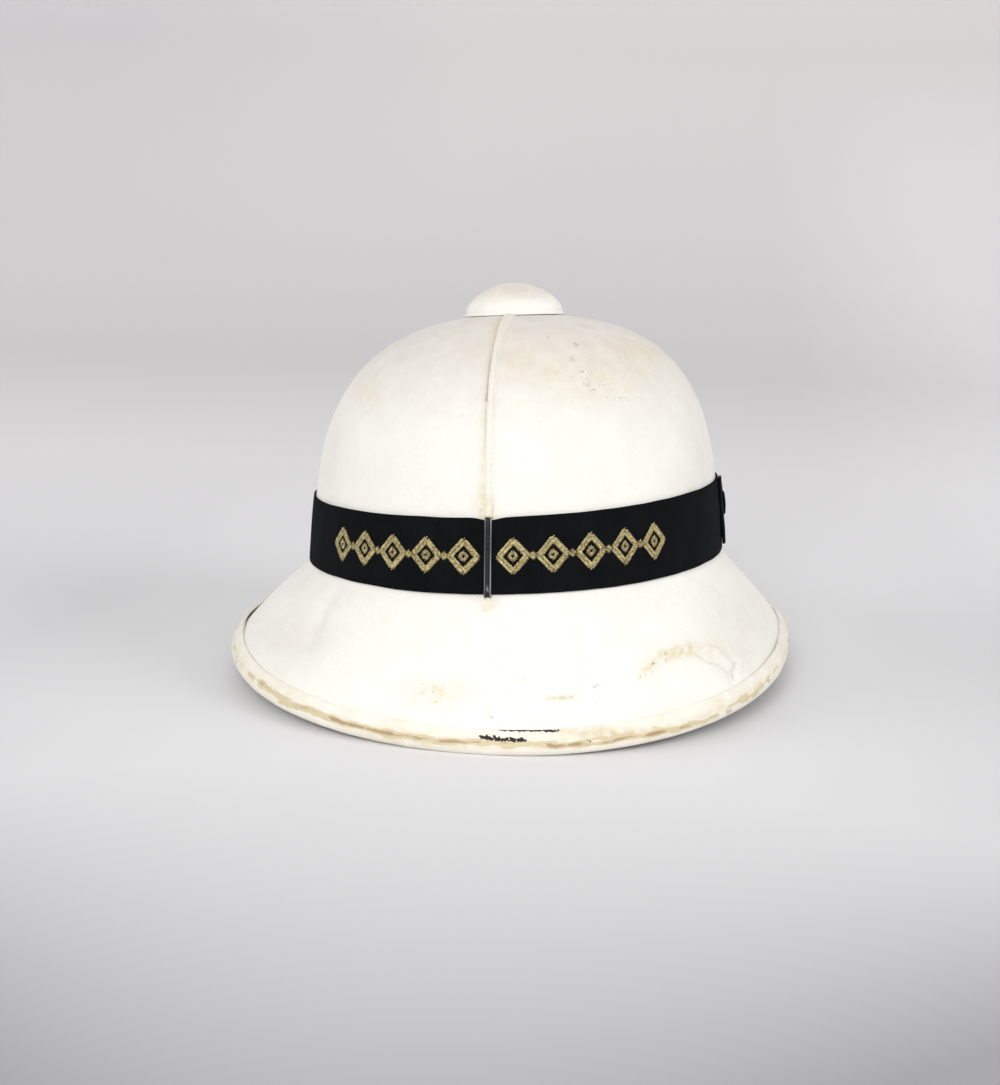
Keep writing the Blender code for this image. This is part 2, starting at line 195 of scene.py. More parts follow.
@dataclass(frozen=True)
class Mark:
    """A mark, whether of wear or of painted shade, placed by the photo's pixels: one point is a spot, more are a
    stroke.

    For a relief, strength is its height in millimetres.
    """

    kind: Trace
    path_px: tuple[Pixel, ...]
    reach_px: tuple[float, float]
    strength: float

    def weigh(self, column: Array, row: Array) -> Array:
        """Strength of the mark at points of the photo.

        Args:
            column: Pixel columns.
            row: Pixel rows.

        Returns:
            The mark's strength at each of them.
        """
        if len(self.path_px) == 1:
            (x, y), (across, down) = self.path_px[0], self.reach_px
            return self.strength * np.exp(-((column - x) / across) ** 2 - ((row - y) / down) ** 2)
        nearest = np.full(column.shape, np.inf)
        for (x0, y0), (x1, y1) in zip(self.path_px, self.path_px[1:]):
            dx, dy = x1 - x0, y1 - y0
            share = np.clip(((column - x0) * dx + (row - y0) * dy) / (dx * dx + dy * dy), 0.0, 1.0)
            nearest = np.minimum(nearest, (column - x0 - share * dx) ** 2 + (row - y0 - share * dy) ** 2)
        return self.strength * np.exp(-nearest / self.reach_px[0] ** 2)


@dataclass(frozen=True)
class WearAndShadeChart:
    """All marks of one surface, seen from the photo's camera."""

    camera: PhotoCamera
    marks: tuple[Mark, ...]

    def layer(self, kind: Trace, points: Array, normals: Array) -> Array:
        """Sum of the marks of one kind.

        Args:
            kind: Which marks count.
            points: Points of the surface.
            normals: Outward normals there.

        Returns:
            Strength at each point, 0 where the camera doesn't see the surface.
        """
        column, row = self.camera.picture(points)
        total = np.zeros(points.shape[:-1])
        for mark in self.marks:
            if mark.kind is kind:
                total += mark.weigh(column, row)
        return total * self.camera.facing(points, normals)


@dataclass(frozen=True)
class HelmetForm:
    """Crown and brim as formulas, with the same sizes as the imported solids."""

    axis_left: float = -0.0001
    axis_forward: float = 0.0183
    crown_half_width: float = 0.0960
    crown_front: float = 0.1156
    crown_back: float = 0.1179
    crown_top: float = 0.1653
    crown_roundness: float = 2.0
    waist: float = 0.0537
    waist_front_lift: float = 0.0049
    waist_left_lift: float = 0.0048
    shoulder: float = 3.705
    squareness: float = 2.57
    taper: float = 0.084
    lean_left: float = -0.0025
    lean_back: float = 0.0012
    slope_left: float = 0.0059
    slope_front: float = 0.0115
    slope_power: float = 3.0
    brim_half_width: float = 0.13025
    brim_front: float = 0.1455
    brim_back: float = 0.1822
    brim_roundness: float = 2.25
    brim_turn: float = math.radians(-3.45)
    ear_rise: float = 0.0120
    rise_power: float = 1.74
    brim_dome: float = 0.12
    wall: float = 0.0045
    leather: float = 0.00135
    gap: float = 0.0003
    outer_leg: float = 0.0052
    inner_leg: float = 0.0060
    pressed: float = 0.0005
    step: float = 1e-4

    def axis(self) -> Array:
        """Foot of the crown's axis."""
        return np.array([self.axis_left, -self.axis_forward, 0.0])

    def heading(self, angle: Array) -> Array:
        """Unit vectors in plan."""
        return np.stack([np.sin(angle), -np.cos(angle), np.zeros_like(angle)], -1)

    def oval(self, angle: Array, half_width: float, front: float, back: float, roundness: float) -> Array:
        """Distance from the axis to an egg-shaped plan outline.

        Args:
            angle: Plan angles.
            half_width: Half of its width.
            front: Reach to the front.
            back: Reach to the back.
            roundness: Exponent, 2 for an ellipse.

        Returns:
            The distances.
        """
        along = np.where(np.cos(angle) > 0.0, front, back)
        across = np.abs(np.sin(angle) / half_width) ** roundness
        return (across + np.abs(np.cos(angle) / along) ** roundness) ** (-1.0 / roundness)

    def waist_radius(self, angle: Array) -> Array:
        """Distance from the axis to the crown's outside at its waist."""
        return self.oval(angle, self.crown_half_width, self.crown_front, self.crown_back, self.crown_roundness)

    def waist_height(self, angle: Array) -> Array:
        """Height of the line where the crown meets the brim."""
        return self.waist + self.waist_front_lift * np.cos(angle) + self.waist_left_lift * np.sin(angle)

    def crown_point(self, angle: Array, climb: Array) -> Array:
        """Points of the crown's outside.

        Args:
            angle: Plan angles.
            climb: 0 at the waist and 1 at the top.

        Returns:
            Points, shape (..., 3).
        """
        angle, climb = np.broadcast_arrays(np.asarray(angle, float), np.asarray(climb, float))
        spread = (1.0 - climb ** self.shoulder) ** (1.0 / self.squareness) * (1.0 - self.taper * climb)
        waist = self.waist_height(angle)
        point = self.heading(angle) * (self.waist_radius(angle) * spread)[..., None]
        point[..., 0] += self.lean_left * climb
        point[..., 1] += self.lean_back * climb
        slope = self.slope_left * np.sin(angle) * climb
        slope += self.slope_front * np.cos(angle) * climb ** self.slope_power
        point[..., 2] = waist + (self.crown_top - waist) * climb + slope * spread
        return point + self.axis()

    def crown_frame(self, angle: Array, height: Array) -> tuple[Array, Array, Array]:
        """Points, outward normals and upward directions at heights above the waist."""
        angle, height = np.broadcast_arrays(np.asarray(angle, float), np.asarray(height, float))
        climb = height / (self.crown_top - self.waist_height(angle))
        point = self.crown_point(angle, climb)
        along = self.crown_point(angle + self.step, climb) - self.crown_point(angle - self.step, climb)
        up = unit(self.crown_point(angle, climb + self.step) - point)
        return point, unit(np.cross(along, up)), up

    def edge_radius(self) -> float:
        """Outside radius of the rolled edge."""
        return self.wall / 2.0 + self.gap + self.leather

    def edge_centre(self, angle: Array) -> Array:
        """Middle of the pith wall at the brim's edge."""
        reach = self.oval(angle - self.brim_turn, self.brim_half_width, self.brim_front, self.brim_back,
                          self.brim_roundness)
        point = self.heading(angle) * (reach - self.edge_radius())[..., None]
        rise = self.ear_rise * np.abs(np.sin(angle)) ** self.rise_power
        point[..., 2] = rise + self.edge_radius() - self.pressed
        return point + self.axis()

    def brim_middle(self, angle: Array, reach: Array) -> Array:
        """Points half a wall inside the brim's face at its edge and on that face at the waist."""
        angle, reach = np.broadcast_arrays(np.asarray(angle, float), np.asarray(reach, float))
        start = self.crown_point(angle, np.zeros_like(angle))
        end = self.edge_centre(angle)
        point = start + (end - start) * reach[..., None]
        fall = reach - self.brim_dome * reach * (1.0 - reach)
        point[..., 2] = start[..., 2] + (end[..., 2] - start[..., 2]) * fall
        return point

    def brim_normal(self, angle: Array, reach: Array) -> Array:
        """Outward normals of the brim's slope."""
        along = self.brim_middle(angle + self.step, reach) - self.brim_middle(angle - self.step, reach)
        down = self.brim_middle(angle, reach + self.step) - self.brim_middle(angle, reach - self.step)
        return unit(np.cross(down, along))

    def brim_point(self, angle: Array, reach: Array) -> Array:
        """Points of the brim's outer face; reach is 0 at the waist and 1 at the cut edge."""
        lift = self.wall / 2.0 * np.asarray(reach, float)
        return self.brim_middle(angle, reach) + self.brim_normal(angle, reach) * lift[..., None]

    def binding_reach(self, angle: Array) -> Array:
        """Share of the slope at which the binding's outer leg ends."""
        waist = self.crown_point(angle, np.zeros_like(angle))
        slant = np.linalg.norm(self.edge_centre(angle) - waist, axis=-1)
        return 1.0 - self.outer_leg / slant

    def edge_frame(self, angle: Array) -> tuple[Array, Array, Array, Array]:
        """Where the outer leg starts, the cut edge's outer corner, and the normal and slope between."""
        whole = np.ones_like(angle)
        start = self.brim_point(angle, self.binding_reach(angle))
        corner = self.brim_point(angle, whole)
        down = unit(corner - start)
        along = self.brim_point(angle + self.step, whole) - self.brim_point(angle - self.step, whole)
        return start, corner, unit(np.cross(down, along)), down


@dataclass
class PointGrid:
    """Rows of points that are skinned with quads; rows run down and columns round to the left."""

    points: Array
    loop_columns: bool = True
    loop_rows: bool = False
    first_pole: Optional[Array] = None
    last_pole: Optional[Array] = None
    uv: Optional[Array] = None
    uv_period: tuple[float, float] = (0.0, 0.0)
    layers: dict[str, Array] = field(default_factory=dict)

    def corners(self) -> tuple[Array, Array, Array, Array]:
        """Row and column of each quad's first corner, and of the corner across from it."""
        rows, columns = self.points.shape[:2]
        row, column = np.meshgrid(np.arange(rows if self.loop_rows else rows - 1),
                                  np.arange(columns if self.loop_columns else columns - 1), indexing="ij")
        return row.ravel(), column.ravel(), (row.ravel() + 1) % rows, (column.ravel() + 1) % columns

    def pole_faces(self) -> list[list[int]]:
        """Triangles that close the first and the last row."""
        rows, columns = self.points.shape[:2]
        faces: list[list[int]] = []
        tip = rows * columns
        if self.first_pole is not None:
            faces += [[tip, c, (c + 1) % columns] for c in range(columns)]
            tip += 1
        if self.last_pole is not None:
            start = (rows - 1) * columns
            faces += [[tip, start + (c + 1) % columns, start + c] for c in range(columns)]
        return faces

    def mesh(self, name: str) -> bpy.types.Mesh:
        """Makes the mesh with its UV map and layers.

        Args:
            name: Name of the mesh.

        Returns:
            The mesh, shaded smooth.
        """
        columns = self.points.shape[1]
        row, column, next_row, next_column = self.corners()
        quads = np.stack([row * columns + column, next_row * columns + column,
                          next_row * columns + next_column, row * columns + next_column], -1)
        poles = [pole for pole in (self.first_pole, self.last_pole) if pole is not None]
        places = np.concatenate([self.points.reshape(-1, 3)] + [np.reshape(pole, (1, 3)) for pole in poles])
        made = bpy.data.meshes.new(name)
        made.from_pydata(places.tolist(), [], quads.tolist() + self.pole_faces())
        if self.uv is not None:
            self.write_uv(made)
        for key, values in self.layers.items():
            spare = [float(values[0].mean()), float(values[-1].mean())][: len(poles)]
            layer = made.attributes.new(key, "FLOAT", "POINT")
            layer.data.foreach_set("value", np.concatenate([values.ravel(), spare]).astype(np.float32))
        made.shade_smooth()
        return made

    def write_uv(self, made: bpy.types.Mesh) -> None:
        """Writes the UV map, which goes on over the joins of a loop."""
        row, column, next_row, next_column = self.corners()
        over_u = np.where(next_column < column, self.uv_period[0], 0.0)
        over_v = np.where(next_row < row, self.uv_period[1], 0.0)
        uv = self.uv
        none = np.zeros_like(over_u)
        corners = [uv[row, column] + np.stack([none, none], -1),
                   uv[next_row, column] + np.stack([none, over_v], -1),
                   uv[next_row, next_column] + np.stack([over_u, over_v], -1),
                   uv[row, next_column] + np.stack([over_u, none], -1)]
        flat = np.stack(corners, 1).reshape(-1, 2)
        spare = np.zeros((len(made.loops) - len(flat), 2))
        layer = made.uv_layers.new(name="thread")
        layer.data.foreach_set("uv", np.concatenate([flat, spare]).astype(np.float32).ravel())


def thickened(mesh: bpy.types.Mesh, wall: float, offset: float = -1.0) -> bpy.types.Mesh:
    """Gives an open sheet its thickness.

    Args:
        mesh: The sheet, which is used up.
        wall: Thickness.
        offset: -1 puts the wall inside the sheet and 0 to both sides.

    Returns:
        A closed mesh.
    """
    holder = bpy.data.objects.new("sheet_in_work", mesh)
    bpy.context.scene.collection.objects.link(holder)
    solidify = holder.modifiers.new("wall", "SOLIDIFY")
    solidify.thickness = wall
    solidify.offset = offset
    solidify.use_even_offset = True
    return baked(holder, mesh.name)


def baked(holder: bpy.types.Object, name: str) -> bpy.types.Mesh:
    """Turns an object with live modifiers into a plain mesh and removes the object.

    Args:
        holder: The object.
        name: Name of the new mesh.

    Returns:
        The plain mesh.
    """
    bpy.context.view_layer.update()
    depsgraph = bpy.context.evaluated_depsgraph_get()
    made = bpy.data.meshes.new_from_object(holder.evaluated_get(depsgraph))
    old = holder.data
    bpy.data.objects.remove(holder, do_unlink=True)
    bpy.data.meshes.remove(old)
    made.name = name
    return made


def add_piece(name: str, mesh: bpy.types.Mesh, finish: bpy.types.Material,
              node: Optional[str] = None) -> bpy.types.Object:
    """Puts a finished mesh in the scene as a piece of the helmet.

    Args:
        name: Name of the piece.
        mesh: Its mesh, in place.
        finish: Its material.
        node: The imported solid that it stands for.

    Returns:
        The piece.
    """
    mesh.materials.clear()
    mesh.materials.append(finish)
    piece = bpy.data.objects.new(name, mesh)
    bpy.context.scene.collection.objects.link(piece)
    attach(piece, "root")
    if node:
        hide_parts(node)
    mesh.calc_loop_triangles()
    LOG.info("%s: %d triangles", name, len(mesh.loop_triangles))
    return piece


class FinishTree:
    """Short way to write the nodes of one material."""

    def __init__(self, name: str) -> None:
        """Starts a Principled material.

        Args:
            name: Name of the material.
        """
        self.material = bpy.data.materials.new(name)
        self.material.use_nodes = True
        self.tree = self.material.node_tree
        self.shader = self.tree.nodes["Principled BSDF"]

    def node(self, kind: str, inputs: dict, **settings: object) -> bpy.types.Node:
        """Adds a node.

        Args:
            kind: Type of the node.
            inputs: Value or output socket for each input, by name or number.
            settings: Properties of the node.

        Returns:
            The node.
        """
        made = self.tree.nodes.new(kind)
        for key, value in settings.items():
            setattr(made, key, value)
        for key, value in inputs.items():
            if isinstance(value, bpy.types.NodeSocket):
                self.tree.links.new(value, made.inputs[key])
            else:
                made.inputs[key].default_value = value
        return made

    def place(self) -> bpy.types.NodeSocket:
        """Object coordinates."""
        return self.node("ShaderNodeTexCoord", {}).outputs["Object"]

    def layer(self, name: str) -> bpy.types.NodeSocket:
        """Values of one of the mesh's layers."""
        return self.node("ShaderNodeAttribute", {}, attribute_name=name).outputs["Fac"]

    def math(self, operation: str, *values: object, clamp: bool = False) -> bpy.types.NodeSocket:
        """Result of a calculation on one to three values."""
        made = self.node("ShaderNodeMath", dict(enumerate(values)), operation=operation, use_clamp=clamp)
        return made.outputs[0]

    def threads(self) -> bpy.types.NodeSocket:
        """Place on the piece in metres, along its threads and across them."""
        return self.node("ShaderNodeUVMap", {}, uv_map="thread").outputs[0]

    def cloud(self, size: float, detail: float = 3.0, stretch: Colour = (1.0, 1.0, 1.0),
              on_threads: bool = False) -> bpy.types.NodeSocket:
        """Noise between 0 and 1.

        Args:
            size: Length of its largest waves.
            detail: How many finer waves it has.
            stretch: Factor for each direction.
            on_threads: Whether it follows the piece's threads.

        Returns:
            The noise's output.
        """
        where = self.threads() if on_threads else self.place()
        mapped = self.node("ShaderNodeMapping", {"Vector": where, "Scale": stretch}).outputs[0]
        made = self.node("ShaderNodeTexNoise", {"Vector": mapped, "Scale": 1.0 / size, "Detail": detail})
        return made.outputs["Fac"]

    def between(self, value: object, low: float, high: float, to_low: float = 0.0,
                to_high: float = 1.0) -> bpy.types.NodeSocket:
        """Value moved from one range to another and kept within it."""
        made = self.node("ShaderNodeMapRange", {"Value": value, "From Min": low, "From Max": high,
                                                "To Min": to_low, "To Max": to_high})
        return made.outputs["Result"]

    def blend(self, share: object, first: object, second: object) -> bpy.types.NodeSocket:
        """Colour between two others.

        Args:
            share: 0 for the first and 1 for the second.
            first: Colour or output socket.
            second: Colour or output socket.

        Returns:
            The blended colour.
        """
        made = self.tree.nodes.new("ShaderNodeMix")
        made.data_type = "RGBA"
        for index, value in ((0, share), (6, first), (7, second)):
            if isinstance(value, bpy.types.NodeSocket):
                self.tree.links.new(value, made.inputs[index])
            else:
                made.inputs[index].default_value = (*value, 1.0) if isinstance(value, tuple) else value
        return made.outputs[2]

    def paint(self, colour: bpy.types.NodeSocket) -> None:
        """Sends a colour to the shader."""
        self.tree.links.new(colour, self.shader.inputs["Base Color"])

    def rough(self, value: bpy.types.NodeSocket) -> None:
        """Sends a roughness to the shader."""
        self.tree.links.new(value, self.shader.inputs["Roughness"])

    def emboss(self, *heights: tuple[bpy.types.NodeSocket, float]) -> None:
        """Bumps of the surface.

        Args:
            heights: Pairs of a value and the height in metres that 1 stands for.
        """
        normal: Optional[bpy.types.NodeSocket] = None
        for value, height in heights:
            inputs: dict = {"Height": value, "Distance": height, "Strength": 1.0}
            if normal is not None:
                inputs["Normal"] = normal
            normal = self.node("ShaderNodeBump", inputs).outputs["Normal"]
        self.tree.links.new(normal, self.shader.inputs["Normal"])

    def weave(self, pitch_round: float, pitch_down: float) -> bpy.types.NodeSocket:
        """Height between 0 and 1 of a plain weave that follows the piece's threads.

        Args:
            pitch_round: Distance between threads along the first direction of the UV map.
            pitch_down: Distance between threads along the second.

        Returns:
            The height.
        """
        parts = self.node("ShaderNodeSeparateXYZ", {0: self.threads()})
        round_wave = self.math("SINE", self.math("MULTIPLY", parts.outputs[0], math.pi / pitch_round))
        down_wave = self.math("SINE", self.math("MULTIPLY", parts.outputs[1], math.pi / pitch_down))
        crossed = self.math("MULTIPLY", round_wave, down_wave)
        return self.math("MULTIPLY_ADD", crossed, 0.5, 0.5)

    def ribs(self, pitch: float) -> bpy.types.NodeSocket:
        """Height between 0 and 1 of ribs that run across the ribbon."""
        parts = self.node("ShaderNodeSeparateXYZ", {0: self.threads()})
        wave = self.math("SINE", self.math("MULTIPLY", parts.outputs[0], 2.0 * math.pi / pitch))
        return self.math("MULTIPLY_ADD", wave, 0.5, 0.5)


@dataclass(frozen=True)
class WhitenedCloth:
    """Cotton drill, whitened over and over, with chalky mottling, old stains and painted shade."""

    name: str = "whitened_cloth"
    white: Colour = (0.90, 0.885, 0.825)
    shade: Colour = (0.80, 0.765, 0.70)
    shade_and_soil: Colour = (0.50, 0.435, 0.37)
    tan: Colour = (0.72, 0.61, 0.35)
    fleck: Colour = (0.30, 0.24, 0.18)
    dark: Colour = (0.25, 0.165, 0.085)
    thread: float = 0.00062
    roughness: float = 0.88
    spotted: float = 1.0

    def build(self) -> bpy.types.Material:
        """Makes the material.

        Returns:
            A material that reads the layers of painted shade and soil, stains and marks.
        """
        tree = FinishTree(self.name)
        mottle = tree.between(tree.cloud(0.016, 4.0), 0.35, 0.75)
        colour = tree.blend(tree.math("MULTIPLY", mottle, 0.35), self.white, self.shade)
        chalk = tree.between(tree.cloud(0.0022, 3.0), 0.45, 0.80)
        colour = tree.blend(tree.math("MULTIPLY", chalk, 0.22), colour, self.shade)
        # Painted shade: the grey layer darkens the crown's top and sides and the brim's sides towards the
        # shade-and-soil colour, with some patchy soil.
        broken = tree.between(tree.cloud(0.009, 5.0), 0.25, 0.75, 0.65, 1.10)
        grey = tree.math("MULTIPLY", tree.layer(Trace.GREY.value), broken, clamp=True)
        colour = tree.blend(grey, colour, self.shade_and_soil)
        ragged = tree.between(tree.cloud(0.0035, 5.0), 0.36, 0.62, 0.25, 1.2)
        tan = tree.math("MULTIPLY", tree.layer(Trace.TAN.value), ragged, clamp=True)
        colour = tree.blend(tan, colour, self.tan)
        colour = tree.blend(self.fleck_share(tree), colour, self.fleck)
        mark = tree.math("MULTIPLY", tree.layer(Trace.DARK.value),
                         tree.between(tree.cloud(0.0016, 2.0), 0.35, 0.60, 0.5, 1.1), clamp=True)
        colour = tree.blend(mark, colour, self.dark)
        tree.paint(colour)
        tree.shader.inputs["Roughness"].default_value = self.roughness
        tree.shader.inputs["Specular IOR Level"].default_value = 0.25
        tree.shader.inputs["Sheen Weight"].default_value = 0.15
        tree.emboss((tree.weave(self.thread, self.thread), 0.00005),
                    (tree.cloud(0.0022, 3.0), 0.00022), (tree.cloud(0.011, 4.0), 0.0005))
        return tree.material

    def fleck_share(self, tree: FinishTree) -> bpy.types.NodeSocket:
        """Small dark specks: dense where the layer says so, and sparse all over."""
        fine = tree.cloud(0.0017, 3.0, (1.0, 1.0, 1.9))
        dense = tree.math("MULTIPLY", tree.between(fine, 0.60, 0.70), tree.layer(Trace.FLECKS.value), clamp=True)
        cells = tree.node("ShaderNodeTexVoronoi", {"Vector": tree.place(), "Scale": 1.0 / 0.011})
        speck = tree.between(cells.outputs["Distance"], 0.022, 0.040, 1.0, 0.0)
        kept = tree.between(tree.cloud(0.030, 1.0), 0.52, 0.56)
        sparse = tree.math("MULTIPLY", tree.math("MULTIPLY", speck, kept), 0.45 * self.spotted)
        return tree.math("MAXIMUM", dense, sparse)


@dataclass(frozen=True)
class WornLeather:
    """Whitened leather that has gone cream, with its ridge rubbed to tan and to bare black."""

    name: str = "worn_leather"
    cream: Colour = (0.87, 0.84, 0.75)
    dirty: Colour = (0.78, 0.71, 0.57)
    tan: Colour = (0.66, 0.56, 0.36)
    brown: Colour = (0.42, 0.31, 0.18)
    black: Colour = (0.015, 0.012, 0.012)
    roughness: float = 0.62

    def build(self) -> bpy.types.Material:
        """Makes the material.

        Returns:
            A material that reads the layers of wear and of bare patches.
        """
        tree = FinishTree(self.name)
        colour = tree.blend(tree.between(tree.cloud(0.010, 5.0), 0.40, 0.72, 0.0, 0.55), self.cream, self.dirty)
        tan = tree.math("MULTIPLY", tree.layer(Trace.TAN.value),
                        tree.between(tree.cloud(0.004, 4.0), 0.35, 0.60, 0.2, 1.2), clamp=True)
        colour = tree.blend(tan, colour, self.tan)
        ragged = tree.between(tree.cloud(0.0034, 5.0, (0.40, 1.1, 1.0), True), 0.30, 0.70, -0.40, 0.40)
        worn = tree.math("ADD", tree.layer(Trace.WEAR_AND_HIGHLIGHT.value), ragged)
        colour = tree.blend(tree.between(worn, 0.36, 0.50), colour, self.tan)
        colour = tree.blend(tree.between(worn, 0.84, 1.05), colour, self.brown)
        flaked = tree.math("ADD", tree.layer(Trace.BARE.value),
                           tree.between(tree.cloud(0.0013, 3.0), 0.30, 0.70, -0.35, 0.35))
        colour = tree.blend(tree.between(flaked, 0.48, 0.56), colour, self.black)
        tree.paint(colour)
        tree.rough(tree.between(worn, 0.2, 0.9, self.roughness, 0.45))
        tree.shader.inputs["Specular IOR Level"].default_value = 0.35
        grain = tree.node("ShaderNodeTexVoronoi", {"Vector": tree.place(), "Scale": 1.0 / 0.0011})
        tree.emboss((grain.outputs["Distance"], 0.00006), (tree.cloud(0.0022, 4.0), 0.00025),
                    (tree.between(flaked, 0.44, 0.56, 1.0, 0.0), 0.00015))
        return tree.material


@dataclass(frozen=True)
class RibbedSilk:
    """Black grosgrain ribbon: fine ribs across it and a soft greenish sheen painted into its colour."""

    name: str = "ribbed_silk"
    black: Colour = (0.0034, 0.0042, 0.0046)
    lit: Colour = (0.0080, 0.0094, 0.0104)
    rib: float = 0.00075
    roughness: float = 0.72

    def build(self) -> bpy.types.Material:
        """Makes the material.

        Returns:
            A material that reads the ribbon's own UV map.
        """
        tree = FinishTree(self.name)
        ribs = tree.ribs(self.rib)
        # Painted sheen: the blend towards the lit colour lightens the ribs' tops and random patches.
        worn = tree.between(tree.cloud(0.012, 4.0), 0.35, 0.75)
        share = tree.math("ADD", tree.math("MULTIPLY", ribs, 0.45), tree.math("MULTIPLY", worn, 0.5), clamp=True)
        tree.paint(tree.blend(share, self.black, self.lit))
        tree.shader.inputs["Roughness"].default_value = self.roughness
        tree.shader.inputs["Specular IOR Level"].default_value = 0.025
        tree.emboss((ribs, 0.00012), (tree.cloud(0.006, 3.0), 0.0003))
        return tree.material


@dataclass(frozen=True)
class MetalFinish:
    """Metal with tarnish that varies over it and, where a rim colour is given, a painted highlight read from a layer.
    """

    name: str
    bright: Colour
    tarnish: Colour
    roughness: float
    metallic: float = 1.0
    patch: float = 0.004
    rim: Optional[Colour] = None

    def build(self) -> bpy.types.Material:
        """Makes the material.

        Returns:
            A metal material.
        """
        tree = FinishTree(self.name)
        share = tree.between(tree.cloud(self.patch, 4.0), 0.35, 0.68)
        colour = tree.blend(share, self.bright, self.tarnish)
        # Painted highlight: where a rim colour is given, the layer lightens the metal towards it.
        if self.rim:
            colour = tree.blend(tree.layer(Trace.WEAR_AND_HIGHLIGHT.value), colour, self.rim)
        tree.paint(colour)
        tree.shader.inputs["Metallic"].default_value = self.metallic
        tree.rough(tree.between(tree.cloud(self.patch, 3.0), 0.3, 0.7, self.roughness, self.roughness + 0.18))
        tree.emboss((tree.cloud(0.0009, 3.0), 0.00003))
        return tree.material


